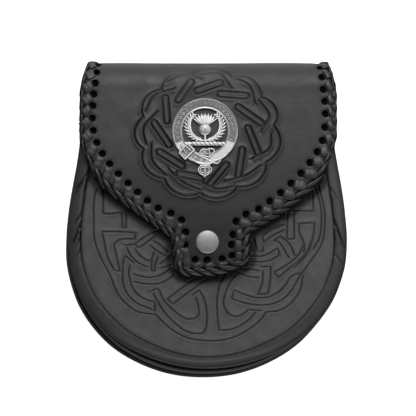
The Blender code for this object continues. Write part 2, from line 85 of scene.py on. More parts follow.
def from_photo(pixels, height):
    """Where the line of sight through each pixel meets the level plane at a height."""
    pixels = np.asarray(pixels, float)
    half = FRAME_PIXELS / 2
    across = (pixels - half) * (1.0, -1.0) * PICTURE_WIDTH / FRAME_PIXELS / DISTANCE
    rays = across @ view_axes[:2] - view_axes[2]
    reach = (height - eye[2]) / rays[:, 2]
    return (eye + rays * reach[:, None])[:, :2]


print("lens", round(camera_data.lens, 1), "mm; the middle pixel sees", from_photo([(208, 208)], 40.0))

# %% [markdown]
# ## Meshes from whole arrays
# Every piece is one of two kinds. A grid is a surface of two parameters, such as a profile carried along
# a path. A sheet is flat leather, cut to an outline with holes, which no grid fits: its points are laid
# out as arrays too, and a Delaunay triangulation joins them. Both end in the same few lines that hand an
# array of points and one of faces to Blender.

# %% Handing arrays to Blender
def add_piece(name, points, faces, materials, replaced, attributes=(), face_slots=None, sharp=50.0):
    """Make a mesh object from points in mm and faces, and put it on the pouch's one body."""
    placed = ((np.asarray(points) - MIDDLE) * MM).astype(np.float32)
    mesh = bpy.data.meshes.new(name)
    faces = [np.asarray(f, np.int32) for f in (faces if isinstance(faces, list) else [faces])]
    sizes = np.concatenate([np.full(len(f), f.shape[1], np.int32) for f in faces])
    mesh.vertices.add(len(placed))
    mesh.vertices.foreach_set("co", placed.ravel())
    mesh.loops.add(int(sizes.sum()))
    mesh.loops.foreach_set("vertex_index", np.concatenate([f.ravel() for f in faces]))
    mesh.polygons.add(len(sizes))
    mesh.polygons.foreach_set("loop_start", np.concatenate(([0], np.cumsum(sizes)[:-1])).astype(np.int32))
    mesh.update(calc_edges=True)
    for material in materials:
        mesh.materials.append(material)
    if face_slots is not None:
        mesh.polygons.foreach_set("material_index", np.asarray(face_slots, np.int32))
    for label, values in attributes:
        layer = mesh.attributes.new(label, "FLOAT", "POINT")
        layer.data.foreach_set("value", np.asarray(values, np.float32))
    mesh.shade_smooth()
    mesh.set_sharp_from_angle(angle=math.radians(sharp))
    mesh.validate()
    piece = bpy.data.objects.new(name, mesh)
    bpy.context.scene.collection.objects.link(piece)
    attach(piece, "root")
    if replaced:
        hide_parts(*replaced)
    print(f"{name}: {len(placed)} points, {int((sizes - 2).sum())} triangles")
    return piece


def grid_faces(rows, columns, around=False, start=0):
    """Quads of a grid of points; around joins the last column to the first."""
    number = np.arange(rows * columns).reshape(rows, columns) + start
    if around:
        number = np.hstack((number, number[:, :1]))
    return np.stack((number[:-1, :-1], number[:-1, 1:], number[1:, 1:], number[1:, :-1]), -1).reshape(-1, 4)


def end_caps(rows, columns, start=0):
    """One face over each end of a tube whose rings have so many points."""
    first = np.arange(columns) + start
    return np.stack((first[::-1], first + (rows - 1) * columns))


# %% [markdown]
# ## Lines
# Edges, seams and pressed lines are all smooth curves through a few charted points. Catmull-Rom slopes
# are enough: each point's slope is read from its two neighbours, and cubic pieces join them. What comes
# out is read again at even steps, so that a surface built on it has even cells.

# %% Curves
def angles(count):
    """Angles of so many points round a circle."""
    return np.arange(count) * 2 * math.pi / count


def bell(distance, width, middle=0.0):
    """A bell curve of height 1: exp of minus the squared distance from its middle, counted in widths."""
    return np.exp(-((distance - middle) / width)**2)


def closed(line):
    """A line with its first point again at its end."""
    return np.vstack((line, line[:1]))


def through(rows, keys, wanted):
    """Cubic curve through rows at rising keys, with slopes from the neighbours, read at wanted keys."""
    rows, keys = np.asarray(rows, float), np.asarray(keys, float)
    slopes = np.gradient(rows, keys, axis=0)
    i = np.clip(np.searchsorted(keys, wanted, side="right") - 1, 0, len(keys) - 2)
    span = (keys[i + 1] - keys[i])[:, None]
    t = (np.asarray(wanted) - keys[i])[:, None] / span
    return ((2 * t**3 - 3 * t**2 + 1) * rows[i] + (t**3 - 2 * t**2 + t) * slopes[i] * span
            + (-2 * t**3 + 3 * t**2) * rows[i + 1] + (t**3 - t**2) * slopes[i + 1] * span)


def lengths(line):
    """Length along a line up to each of its points."""
    return np.concatenate(([0.0], np.cumsum(np.hypot(*np.diff(line, axis=0).T))))


def even(line, step):
    """The same line with points at even steps."""
    along = lengths(line)
    wanted = np.linspace(0.0, along[-1], max(2, round(along[-1] / step) + 1))
    return np.column_stack([np.interp(wanted, along, line[:, k]) for k in range(line.shape[1])])


READS_EACH = 12                          # how often a curve is read for each of its charted points
BLOCK = 4_000_000                        # distances worked out at once, so that they fit in memory


def smooth_line(points, step=1.0):
    """Even points on the smooth curve through charted ones."""
    points = np.asarray(points, float)
    if len(points) == 2:
        return even(points, step)
    keys = lengths(points)
    fine = np.linspace(0.0, keys[-1], READS_EACH * len(points))
    return even(through(points, keys, fine), step)


def left_of(line):
    """Unit normals to the left of a line's direction of travel."""
    along = np.gradient(line, axis=0)
    along /= np.hypot(*along.T)[:, None]
    return np.column_stack((-along[:, 1], along[:, 0]))


def rounded(corners, step):
    """Straight runs and round bends through corners (x, y, radius)."""
    points = [np.array(corners[0][:2], float)[None]]
    for a, b, c in zip(corners, corners[1:], corners[2:]):
        corner, radius = np.array(b[:2], float), b[2]
        back, ahead = np.array(a[:2]) - corner, np.array(c[:2]) - corner
        back, ahead = back / np.hypot(*back), ahead / np.hypot(*ahead)
        half = math.acos(np.clip(back @ ahead, -1, 1)) / 2
        middle = (back + ahead) / np.linalg.norm(back + ahead)
        centre = corner + middle * radius / math.sin(half)
        arms = [corner + arm * radius / math.tan(half) - centre for arm in (back, ahead)]
        bend = math.atan2(arms[0][0] * arms[1][1] - arms[0][1] * arms[1][0], arms[0] @ arms[1])
        turns = np.linspace(0.0, bend, max(1, round(abs(bend) * radius / step)) + 1)
        points.append(centre + np.column_stack((
            arms[0][0] * np.cos(turns) - arms[0][1] * np.sin(turns),
            arms[0][0] * np.sin(turns) + arms[0][1] * np.cos(turns))))
    points.append(np.array(corners[-1][:2], float)[None])
    return np.vstack(points)


def distance_to(points, lines):
    """Distance from each point to the nearest of the lines' straight pieces, a block of points at a time."""
    starts = np.vstack([line[:-1] for line in lines])
    steps = np.vstack([line[1:] for line in lines]) - starts
    squares = (steps**2).sum(axis=1)
    nearest = np.empty(len(points))
    for block in np.array_split(np.arange(len(points)), max(1, len(points) * len(starts) // BLOCK)):
        gap = points[block, None] - starts[None]
        share = np.clip((gap * steps).sum(axis=2) / squares, 0.0, 1.0)
        nearest[block] = np.sqrt((((gap - share[..., None] * steps)**2).sum(axis=2)).min(axis=1))
    return nearest


def inside(loop, points):
    """Which points lie inside a closed loop, by counting the sides to their right."""
    ax, ay = loop.T
    bx, by = np.roll(loop, -1, axis=0).T
    x, y = points[:, :1], points[:, 1:]
    crosses = (ay > y) != (by > y)
    at = ax + (y - ay) * (bx - ax) / np.where(by == ay, 1.0, by - ay)
    return (crosses & (x < at)).sum(axis=1) % 2 == 1


# %% [markdown]
# ## Shader groups
# Smooth dyed leather is never one flat black. It has pores a fraction of a millimetre apart, a slow
# drift of shade, and a little gloss that comes and goes. The pores could be carved, but they are far
# smaller than a pixel, so they are bump. Each effect is a node group with named sockets, built once and
# given its own values in every material that uses it.

# %% Node groups for leather
BROAD_SCALE, BROAD_SHARE = 420.0, 2.5    # creases of some millimetres, and how much they raise the grain
DRIFT_SCALE = 130.0                      # the slow drift of shade


def wire(tree, kind, inputs=(), **settings):
    """Add a node, set its properties and fill its inputs with values or links; returns its outputs."""
    made = tree.nodes.new(kind)
    for key, value in settings.items():
        setattr(made, key, value)
    for key, value in dict(inputs).items():
        if isinstance(value, bpy.types.NodeSocket):
            tree.links.new(value, made.inputs[key])
        else:
            made.inputs[key].default_value = value
    return made.outputs


def new_group(name, inputs, outputs):
    """A shader node group with float inputs and outputs; returns the tree and its two ends."""
    tree = bpy.data.node_groups.new(name, "ShaderNodeTree")
    for label, value in inputs.items():
        tree.interface.new_socket(label, in_out="INPUT", socket_type="NodeSocketFloat").default_value = value
    for label in outputs:
        tree.interface.new_socket(label, in_out="OUTPUT", socket_type="NodeSocketFloat")
    return tree, tree.nodes.new("NodeGroupInput").outputs, tree.nodes.new("NodeGroupOutput").inputs


def grain_group():
    """Height: pores (smooth Voronoi cells), fine noise and wider waves. Tone: slow noise round 1."""
    tree, given, out = new_group("Leather grain", {"Pores per metre": 900.0, "Mottle": 0.1},
                                 ("Height", "Tone"))
    where = wire(tree, "ShaderNodeTexCoord")["Object"]
    cells = wire(tree, "ShaderNodeTexVoronoi", {"Vector": where, "Scale": given["Pores per metre"],
                                                "Smoothness": 0.6}, feature="SMOOTH_F1")["Distance"]
    fine = wire(tree, "ShaderNodeTexNoise", {"Vector": where, "Scale": given["Pores per metre"],
                                             "Detail": 3.0, "Roughness": 0.6})["Fac"]
    pores = wire(tree, "ShaderNodeMath", {0: cells, 1: fine}, operation="ADD")[0]
    broad = wire(tree, "ShaderNodeTexNoise", {"Vector": where, "Scale": BROAD_SCALE, "Detail": 2.0})["Fac"]
    height = wire(tree, "ShaderNodeMath", {0: broad, 1: BROAD_SHARE, 2: pores}, operation="MULTIPLY_ADD")[0]
    tree.links.new(height, out["Height"])
    slow = wire(tree, "ShaderNodeTexNoise", {"Vector": where, "Scale": DRIFT_SCALE, "Detail": 5.0,
                                             "Roughness": 0.7})["Fac"]
    spread = wire(tree, "ShaderNodeMath", {0: slow, 1: 0.5}, operation="SUBTRACT")[0]
    tone = wire(tree, "ShaderNodeMath", {0: spread, 1: given["Mottle"], 2: 1.0}, operation="MULTIPLY_ADD")[0]
    tree.links.new(tone, out["Tone"])
    return tree


def shade_group():
    """Painted shade: 1 on bare leather, less in pressed lines, creases, folds and shaded lace, read from the
    piece's own attribute.
    """
    tree, given, out = new_group("Painted shade", {"Darkening": 0.5}, ("Shade",))
    pressed = wire(tree, "ShaderNodeAttribute", attribute_name="painted_shade")["Fac"]
    dark = wire(tree, "ShaderNodeMath", {0: pressed, 1: given["Darkening"]}, operation="MULTIPLY")[0]
    tree.links.new(wire(tree, "ShaderNodeMath", {0: 1.0, 1: dark}, operation="SUBTRACT")[0], out["Shade"])
    return tree


GRAIN, SHADE_GROUP = grain_group(), shade_group()


def place_group(tree, group, values):
    """Place a node group in a material with its own values; returns its outputs."""
    outputs = wire(tree, "ShaderNodeGroup", {}, node_tree=group)
    for label, value in values.items():
        outputs[0].node.inputs[label].default_value = value
    return outputs


def leather(name, colour, rough, pores, depth, mottle, darkening=0.0, sheen=0.0, gloss=0.5):
    """Leather: base colour times grain tone and painted shade, with bump from the grain.

    pores are counted to the metre, depth is the grain's in mm, mottle is how far the shade drifts,
    and darkening is how black the painted shade gets, in pressed lines and elsewhere.
    """
    made = bpy.data.materials.new(name)
    made.use_nodes = True
    tree = made.node_tree
    shader = tree.nodes["Principled BSDF"]
    grain = place_group(tree, GRAIN, {"Pores per metre": pores, "Mottle": mottle})
    tone = grain["Tone"]
    if darkening:
        painted_shade = place_group(tree, SHADE_GROUP, {"Darkening": darkening})
        tone = wire(tree, "ShaderNodeMath", {0: tone, 1: painted_shade["Shade"]}, operation="MULTIPLY")[0]
    shade = wire(tree, "ShaderNodeVectorMath", {0: colour, 3: tone}, operation="SCALE")[0]
    tree.links.new(shade, shader.inputs["Base Color"])
    shine = wire(tree, "ShaderNodeMath", {0: grain["Tone"], 1: rough}, operation="MULTIPLY")[0]
    tree.links.new(shine, shader.inputs["Roughness"])
    bump = wire(tree, "ShaderNodeBump", {"Height": grain["Height"], "Strength": 1.0,
                                         "Distance": depth * MM})["Normal"]
    tree.links.new(bump, shader.inputs["Normal"])
    shader.inputs["Sheen Weight"].default_value = sheen
    shader.inputs["Specular IOR Level"].default_value = gloss
    return made


# darkening, the eighth value, is how black each leather's painted shade gets
FRONT_LEATHER = leather("front_leather", (0.067, 0.0692, 0.0663), 0.50, 1500.0, 0.025, 0.9, 0.96, gloss=0.32)
FLAP_LEATHER = leather("flap_leather", (0.0045, 0.0047, 0.0045), 0.46, 1500.0, 0.025, 0.9, 0.9)
BAND_LEATHER = leather("band_leather", (0.038, 0.0393, 0.0376), 0.48, 1500.0, 0.028, 0.7, 0.95, gloss=0.42)
LACE_LEATHER = leather("lace_leather", (0.017, 0.0176, 0.0168), 0.42, 700.0, 0.03, 0.6, 0.97)
FLESH_SIDE = leather("flesh_side", (0.045, 0.043, 0.040), 0.85, 1800.0, 0.12, 0.6, 0.0, 0.3)
# black for the bare cut edges of holes, and also laid over faces in deep painted shade
CUT_EDGE_AND_SHADE = leather("cut_edge_and_painted_shade", (0.003, 0.003, 0.003), 0.9, 1800.0, 0.03, 0.4, gloss=0.1)
print("materials:", ", ".join(m.name for m in bpy.data.materials))

# %% [markdown]
# ## The pouch's form
# The front is crowned a little, because the pouch is padded out by what it holds. The flap lies on it at
# an even distance, bends round the top on a half circle and ends in a tail that is sewn inside the back.
# Both could be bent with modifiers, but a formula is exact: it takes a place on the flat leather and says
# where that place goes. So all the flap's parts are laid out flat and bent by the same function.

# %% Front height and the flap's bend
FRONT_Z, FRONT_CROWN, SIDE_DROP, HALF_WIDTH = 36.5, 2.5, 2.5, 82.0
FOLD_Y, FOLD_REACH, FLAP_GAP, FLAP_THICK = 85.5, 14.0, 3.8, 2.5
FRONT_THICK = 2.2
BACK_LOW, BACK_TOP, CLEARANCE = 7.3, 9.5, 0.3
TAIL_Z = BACK_TOP + CLEARANCE + FLAP_THICK
FOLD_LENGTH = math.pi * (FOLD_REACH + FLAP_THICK / 2)
SAG = (
    # distance along the leather, mm that it has sunk there
    (-60, 0.0), (10, 0.0), (35, 0.05), (55, 0.35), (70, 0.95), (82, 1.75), (90, 2.05), (98, 1.8),
    (110, 0.8), (122, 0.1), (130, 0.0), (160, 0.0))


def front_height(x, y):
    """Height of the front: a cosine crown up the middle, less a parabola towards the sides."""
    return FRONT_Z + FRONT_CROWN * (1 + np.cos(np.pi * y / FOLD_Y)) / 2 - SIDE_DROP * (x / HALF_WIDTH)**2


sag_keys, sag_drops = np.array(SAG, float).T
sag_fine = np.linspace(sag_keys[0], sag_keys[-1], 400)
sag_line = through(sag_drops[:, None], sag_keys, sag_fine)[:, 0]


def bend_flap(flat):
    """Flat leather (x, v, h) in place: v runs up the front, round a half turn, then down inside the back.

    Towards the fold the worn leather sinks by sag_line, so that its slope grows evenly into the bend.
    """
    x, v, h = np.moveaxis(np.asarray(flat, float), -1, 0)
    turn = np.clip(math.pi * (v - FOLD_Y) / FOLD_LENGTH, 0.0, math.pi)
    bend = (front_height(x, FOLD_Y) + FLAP_GAP - TAIL_Z) / 2
    y = FOLD_Y + (FOLD_REACH + h) * np.sin(turn)
    z = TAIL_Z + bend + (bend + h) * np.cos(turn)
    before, after = v <= FOLD_Y, v > FOLD_Y + FOLD_LENGTH
    y = np.where(before, v, np.where(after, 2 * FOLD_Y + FOLD_LENGTH - v, y))
    z = np.where(before, front_height(x, v) + FLAP_GAP + h, z) - np.interp(v, sag_fine, sag_line)
    return np.stack((x, y, z), -1)


print("leather round the fold:", round(FOLD_LENGTH, 1), "mm")

# %% [markdown]
# ## Sheets of leather
# A front panel is one hide, cut to a curved outline, with holes and dozens of pressed lines that run in
# every direction. A grid would need a point every quarter of a millimetre all over it. Here the points
# are laid where they matter: rows beside every pressed line, rings round the holes, a rolled edge and a
# wide lattice elsewhere. The triangulation joins them, the relief sets their heights, and a second
# triangulation with fewer points closes the flesh side.

# %% Cutting a sheet
GROOVE_ROWS = (0.0, 0.28, 0.56, 0.9, 1.3, 1.8)     # distances of the rows beside a pressed line
RIM_ROWS = (0.35, 0.8, 1.4)                        # and beside the outline and the holes
GROOVE_STEP, RIM_STEP = 0.7, 0.9                   # steps along those rows
CELL, EDGE_GAP = 0.22, 0.3                         # no two points nearer than this, nor any to an edge
UNDER_STEP, UNDER_GAP = 6.0, 2.0                   # the same for the flesh side, which has no relief


def lattice(low, high, step):
    """Staggered points in a rectangle, each row half a step along from the last."""
    rows = np.arange(low[1], high[1], step * math.sqrt(3) / 2)
    across = np.arange(low[0], high[0], step)
    x = across[None] + (np.arange(len(rows)) % 2)[:, None] * step / 2
    return np.column_stack((x.ravel(), np.repeat(rows, len(across))))


def beside(lines, offsets, step):
    """Rows of points beside each line at both signs of each offset."""
    rows = []
    for line in lines:
        line = even(line, step)
        normal = left_of(line)
        rows += [line + normal * side * offset for offset in offsets for side in (1, -1)]
    return np.vstack(rows)


def thinned(points, cell):
    """The points with at most one in each square cell; the earliest stays."""
    first = np.unique(np.floor(points / cell).astype(int), axis=0, return_index=True)[1]
    return points[np.sort(first)]


def ring(centre, radius, sides=20, way=-1):
    """A circle's corners: clockwise, as a hole's edge needs, or the other way round where way is 1."""
    turns = way * angles(sides)
    return np.column_stack((np.cos(turns), np.sin(turns))) * radius + centre


def triangulate(loops, inner):
    """Delaunay triangles over the loops (outline first, then holes) and the points inside."""
    flat = np.vstack(loops + [inner])
    starts = np.cumsum([0] + [len(loop) for loop in loops])
    edges = np.vstack([np.column_stack((np.arange(a, b), np.roll(np.arange(a, b), -1)))
                       for a, b in zip(starts, starts[1:])])
    _, _, faces, origin, *_ = delaunay_2d_cdt([Vector(p) for p in flat], edges.tolist(), [], 0, 1e-6)
    source = np.array([o[0] for o in origin])
    faces = source[np.array([tuple(f) for f in faces])]
    doubt = np.flatnonzero((faces < starts[-1]).all(axis=1))
    middles = flat[faces[doubt]].mean(axis=1)
    wanted = inside(loops[0], middles)
    for loop in loops[1:]:
        wanted &= ~inside(loop, middles)
    return flat, np.delete(faces, doubt[~wanted], axis=0), starts


def sheet(name, loops, lines, relief, place, thick, step, slots, replaced, extra=()):
    """A closed sheet of leather: cut by the loops, pressed by relief(flat) and set in place.

    lines are the pressed lines, step is the wide lattice's, slots are the materials of the grain side,
    the flesh side and the holes' walls, and extra has rows of points beyond the usual ones.
    """
    outline, edges = loops[0], [closed(loop) for loop in loops]
    low, high = outline.min(axis=0), outline.max(axis=0)
    wide = lattice(low, high, step)
    wide = wide[distance_to(wide, lines) > GROOVE_ROWS[-1] + 0.2 * step]
    inner = thinned(np.vstack([beside(lines, GROOVE_ROWS, GROOVE_STEP), beside(edges, RIM_ROWS, RIM_STEP),
                               *extra, wide]), CELL)
    inner = inner[inside(outline, inner)]
    inner = inner[distance_to(inner, edges) > EDGE_GAP]
    for loop in loops[1:]:
        inner = inner[~inside(loop, inner)]
    flat, top, starts = triangulate(loops, inner)
    coarse = lattice(low, high, UNDER_STEP)
    coarse = coarse[inside(outline, coarse)]
    coarse = coarse[distance_to(coarse, edges) > UNDER_GAP]
    under, bottom, _ = triangulate(loops, coarse)
    height, painted_shade = relief(flat)
    points = np.vstack((place(np.column_stack((flat, thick + height))),
                        place(np.column_stack((under, np.zeros(len(under)))))))
    walls = []
    for a, b in zip(starts, starts[1:]):
        here = np.arange(a, b)
        ahead = np.roll(here, -1)
        walls.append(np.column_stack((here + len(flat), ahead + len(flat), ahead, here)))
    walls = np.vstack(walls)
    faces = [top, bottom[:, ::-1] + len(flat), walls]
    kinds = np.concatenate((np.zeros(len(top)), np.ones(len(bottom)),
                            np.where(np.arange(len(walls)) < starts[1], 0, len(slots) - 1)))
    # the relief's painted shade, read by the material; none on the flesh side
    attribute = ("painted_shade", np.concatenate((painted_shade, np.zeros(len(under)))))
    return add_piece(name, points, faces, slots, replaced, [attribute], kinds)


def groove(distance):
    """Section of a pressed line: a rounded groove with a low lip on both sides."""
    return -0.7 * bell(distance, 0.5) + 0.3 * bell(distance, 0.55, 1.25)


def soft_waves(x, y):
    """Slow unevenness of leather that has been worn, a few tenths of a millimetre."""
    return (0.16 * np.sin(x / 17 + 1.3 * np.sin(y / 23)) + 0.12 * np.sin(y / 14 + 1.1 * np.sin(x / 19 + 1))
            + 0.05 * np.sin((x + 1.7 * y) / 9))


# %% [markdown]
# ## The front panel
# The front is pressed with an interlace of bands, each drawn by the pair of grooves along its edges. The
# grooves are charted on the photograph as runs that end at every corner, and each run is one smooth
# curve. Where the flap hides the pattern it simply runs out, as nobody has seen the rest.

# %% Knotwork on the front
FRONT_LEVEL = 38.0                       # height that the runs lie at
FRONT_RUNS = (
    # Pixels on the photograph. Left half: the pattern's rim, then its bands from the side to the middle.
    ((96, 190), (93.5, 203), (93.6, 220), (94, 238), (100, 256), (104.6, 265.5), (110, 275.5), (114, 286),
     (119, 296), (127, 304.6), (134, 310), (143, 313), (155, 314)),
    ((155, 314), (161, 320), (169, 327.5), (179, 334), (190, 338.6), (202, 340.2), (212.5, 341)),
    ((103, 189), (103, 212.5)), ((103, 213.5), (111, 213.6), (120, 212.5)),
    ((122, 215), (122, 227.5)), ((122, 227.5), (126, 227.5)), ((126, 227.5), (126, 215)),
    ((101.5, 231.5), (118, 231.7), (135.6, 232.7)), ((135.6, 232.7), (134.8, 239.2)),
    ((134.8, 239.2), (122, 239.2), (116, 241.8), (113.8, 245.7), (115.3, 251), (117, 260), (120, 271)),
    ((120, 271), (113.8, 269.8)),
    ((113.8, 269.8), (108, 258.7), (104.6, 246.4), (103, 236.5), (101.5, 231.5)),
    ((133.7, 263), (125.2, 255.6)),
    ((125.2, 255.6), (123, 261), (122.6, 271), (122.6, 282.4), (125, 290), (130.6, 297.7), (138, 303.8),
     (146, 307), (153, 310.3)),
    ((129.8, 266), (128.3, 272.4), (129.5, 278.6), (131.4, 285.4), (135, 291.6), (141, 297), (147, 300),
     (154, 301.5)), ((154, 301.5), (154.7, 306), (154.7, 311)),
    ((133, 274), (140, 276), (149, 277.4), (156.6, 276.3), (163.5, 273.6), (170.4, 268.5)),
    ((133.7, 281.6), (143, 283.5), (153.6, 284), (161, 283), (167, 280), (173.5, 275)),
    ((126.4, 247), (130.6, 255.6), (136.7, 261.7), (146, 266.7)),
    ((135, 249.5), (140, 255.6), (145, 259.4), (150, 261)), ((123.7, 245), (133.7, 244.5)),
    ((136.7, 247), (135, 243.4)), ((135, 243.4), (143, 238), (149, 234), (156, 231)),
    ((136.7, 247), (139, 247.6)), ((139, 247.6), (147.4, 241.8), (156, 235)),
    ((153.6, 241), (160.4, 245), (167.3, 251.8)), ((149.7, 245.3), (157.4, 251), (165, 255.6)),
    ((154.3, 251.8), (152, 258), (151.3, 264.8), (151.6, 271)), ((151.6, 271), (154.7, 271)),
    ((157.4, 258), (155, 264.8), (154.7, 271)),
    ((160.4, 263.6), (166, 259.6), (172, 255)), ((162, 267.8), (171, 264.8)),
    ((150.5, 291), (156.6, 288.5)),
    ((156.6, 288.5), (159, 290), (161, 295.4), (166, 303), (172, 309), (179.6, 315.3), (186.5, 318.7),
     (193, 318.7), (198, 316), (198.6, 309), (195.6, 297)),
    ((153, 293), (156.6, 300), (162, 309), (169, 317.6), (177, 325), (185, 330.6), (193, 333.3),
     (203, 333.3)),
    ((203, 333.3), (206, 327.5), (206.7, 317), (205.6, 305), (202.5, 295.4), (198.7, 290)),
    ((198.7, 290), (192.6, 294.6)),
    ((167, 299), (192, 280)), ((172.7, 303.8), (204, 280.6)), ((167, 299), (172.7, 303.8)),
    # Right half.
    ((318, 186), (323, 202.5), (324.7, 215), (324.7, 225), (323, 239), (319, 249), (312, 259), (303.6, 271)),
    ((302.7, 275), (300, 290), (294.6, 299), (287.5, 306), (278.6, 310.5), (266, 312)),
    ((266, 312), (260.7, 319.5), (250, 328.4), (237.5, 335.5), (225, 339.6), (212.5, 341)),
    ((315, 187), (320.4, 205), (321.4, 218.6), (321, 228.6), (318.4, 240), (313, 249.4)),
    ((295.6, 210.5), (312.3, 211)), ((313.3, 208), (312.7, 195)),
    ((298.3, 223.6), (314.3, 222.6)),
    ((314.3, 222.6), (313.7, 232), (311, 244), (307, 254), (300, 262), (293.6, 268)),
    ((299, 224.6), (299, 232), (302.3, 239.3), (304.3, 245.4), (303.6, 252.7)),
    ((311.6, 240), (307, 251.6), (298, 261.4), (289, 268.6), (278.6, 277.5)), ((278.6, 277.5), (274, 272.5)),
    ((274, 272), (285, 266), (294.6, 258.8), (301, 250.7), (303.6, 242.7)),
    ((287.2, 214), (286.6, 239)), ((286.6, 239), (294, 239)), ((294, 239), (293.8, 214)),
    ((273.5, 240.7), (280.2, 236.3)), ((280.2, 236.3), (285.5, 240), (291, 246.7), (294.3, 255.4)),
    ((273.5, 240.7), (277.5, 241.4), (283, 248), (287, 254.8), (289, 257.8)),
    ((262, 236), (272, 229.3), (284, 224.4)), ((263.4, 242.7), (272, 236), (284, 230)),
    ((262, 236), (263.4, 242.7)),
    ((251, 256), (263.4, 255.8), (271.5, 252), (277.5, 248)), ((277.5, 248), (279.5, 254.8)),
    ((279.5, 254.8), (273.5, 258.8), (263.4, 261.8), (251, 261.4)),
    ((254, 240.7), (257.4, 251.4)), ((257.4, 251.4), (262.8, 251.4)), ((262.8, 251.4), (262.8, 247.4)),
    ((245.5, 268.6), (259, 270.8)), ((238.4, 272), (247.3, 276.2), (258, 277.5)),
    ((261.6, 266.8), (270.5, 266.3)), ((270.5, 266.3), (270.5, 275.7), (268, 293.6)),
    ((262.5, 271.3), (262.5, 280), (258, 294.5)), ((258, 294.5), (268, 293.6)),
    ((234, 290), (244.6, 294.5), (257, 297.6), (268, 297), (278.6, 291.8), (285.7, 284.6), (290, 277.5),
     (299, 273)), ((234, 290), (231.3, 298.5)),
    ((231.3, 298.5), (243, 302.5), (255.4, 304.7), (269.6, 304.3), (282, 299.8), (291, 291), (296.4, 282),
     (301, 273)),
    ((235.7, 274.8), (229.5, 283), (225, 293.6), (223.2, 302.5), (226, 310.5), (230.4, 315), (236.6, 316.3),
     (243, 314), (248.2, 309.6)), ((248.2, 309.6), (260.7, 310.5)),
    ((225, 273), (219.6, 284.6), (217, 297), (217, 311.4), (218.8, 330.2)),
    ((218.8, 330.2), (229.5, 329.7), (240.2, 325.7), (249, 319.5), (255.4, 312.3)),
)
front_lines = [smooth_line(from_photo(run, FRONT_LEVEL)) for run in FRONT_RUNS]
print(len(front_lines), "runs,", round(sum(lengths(line)[-1] for line in front_lines)), "mm of groove")

# %% [markdown]
# ## The pouch's outline
# The front panel, the side band, the corded seam and the back all follow one edge, each a certain way
# outside it. One table holds the edge and those three distances down one side, and the other side mirrors
# it, because the pouch was cut to be even. The flap's edge could be read off its solid, but the lace
# needs its line and its holes on the flat leather, so both are charted here. The front needs them first:
# the flap's shadow is painted on its leather, dark under the flap and a little past the lace.

# %% Stations round the pouch
POUCH_EDGE = (
    # x, y, and how far the band, the seam and the back reach past the front's edge
    (72.0, 81.0, 8.0, 7.2, 8.8), (72.9, 66.0, 8.0, 7.3, 8.9), (74.3, 50.0, 8.2, 7.4, 9.0),
    (76.2, 34.3, 8.6, 7.4, 9.3), (78.5, 21.3, 8.6, 7.6, 9.4), (80.9, 5.0, 8.5, 7.8, 9.6),
    (82.1, -14.0, 8.4, 8.2, 9.8), (81.0, -28.0, 8.5, 8.8, 10.1), (77.6, -39.8, 8.6, 9.1, 10.3),
    (72.6, -50.4, 8.6, 9.3, 10.8), (65.0, -60.7, 8.5, 9.2, 11.4), (53.0, -72.1, 8.2, 8.9, 12.3),
    (37.2, -81.2, 7.4, 8.2, 12.9), (18.5, -87.8, 6.6, 7.4, 12.8), (0.0, -90.0, 6.3, 7.1, 12.4))
STATIONS = 640
half = np.array(POUCH_EDGE)
edge_rows = np.vstack((half, half[-2::-1] * (-1, 1, 1, 1, 1)))
edge_keys = lengths(edge_rows[:, :2])
stations = through(edge_rows, edge_keys, np.linspace(0.0, edge_keys[-1], STATIONS))
outward = left_of(stations[:, :2])
print("edge of the front:", round(edge_keys[-1]), "mm at", STATIONS, "stations")

# %% Lace line and holes
LACE_LINE = (
    # x, v along the leather, radius of the bend
    (-79.5, 128.0, 0.0), (-79.6, 104.0, 25.0), (-84.2, 84.0, 40.0), (-84.3, 46.0, 30.0),
    (-69.0, 20.5, 60.0), (-22.2, -12.8, 6.0), (-20.0, -37.2, 9.0), (8.0, -36.8, 30.0),
    (26.2, -29.2, 6.0), (26.4, -9.4, 6.0), (50.0, 3.8, 60.0), (73.0, 23.5, 40.0),
    (85.4, 49.0, 30.0), (85.4, 84.0, 40.0), (80.6, 104.0, 25.0), (79.9, 128.0, 0.0))
LACE_HOLES = (
    # number, x, v
    (0, -70.0, 119.0), (3, -72.0, 95.0), (6, -74.4, 72.8), (8, -74.1, 56.5), (9, -71.8, 48.6),
    (11, -63.4, 34.6), (13, -51.4, 22.0), (16, -31.9, 5.7), (18, -16.7, -1.9), (19, -14.0, -9.7),
    (20, -14.5, -17.9), (21, -7.8, -27.6), (22, -0.1, -27.8), (23, 9.6, -27.0), (24, 16.2, -25.0),
    (25, 15.8, -17.9), (26, 16.7, -11.3), (27, 18.7, -2.7), (29, 33.3, 5.3), (32, 54.3, 22.0),
    (34, 66.6, 35.6), (36, 74.8, 50.1), (38, 76.8, 67.7), (40, 75.5, 83.7), (42, 73.5, 99.5),
    (45, 70.5, 123.0))
LACE_PROUD, HOLE_R = 1.7, 2.5
EDGE_IN = 1.9                            # the leather stops this far inside the line the lace turns on

lace_line = even(rounded(LACE_LINE, 0.5), 0.5)
lace_inward = left_of(lace_line)
turn_line = lace_line + lace_inward * LACE_PROUD
hole_rows = np.array(LACE_HOLES)
holes = through(hole_rows[:, 1:], hole_rows[:, 0], np.arange(hole_rows[-1, 0] + 1))
print("lace line:", round(lengths(lace_line)[-1]), "mm,", len(holes), "holes")

# %% The front panel
SNAP_X, SNAP_Y, RIVET_R = 0.0, -16.1, 1.6
SHEET_STEP = 2.2                         # the wide lattice of the front and of the flap
PATTERN_TOP, PATTERN_FADE = 54.0, 20.0   # the hidden pattern ends at this y, and fades for so long below it
SHADOW_PAST, SHADOW_FADE = 4.3, 1.8        # painted shadow of the flap: full this far past the lace, then fading over this much
front_outline = np.vstack((stations[::-1, :2], even(stations[[0, -1], :2], 3.0)[1:-1]))
front_edge = [stations[:, :2]]


def seam_weight(y):
    """How deep the seam's crease is, and how dark its painted shade: full at the sides, hardly there round
    the bottom.
    """
    return np.interp(y, (-80.0, -65.0, -35.0, -12.0), (0.06, 0.2, 0.5, 1.0))


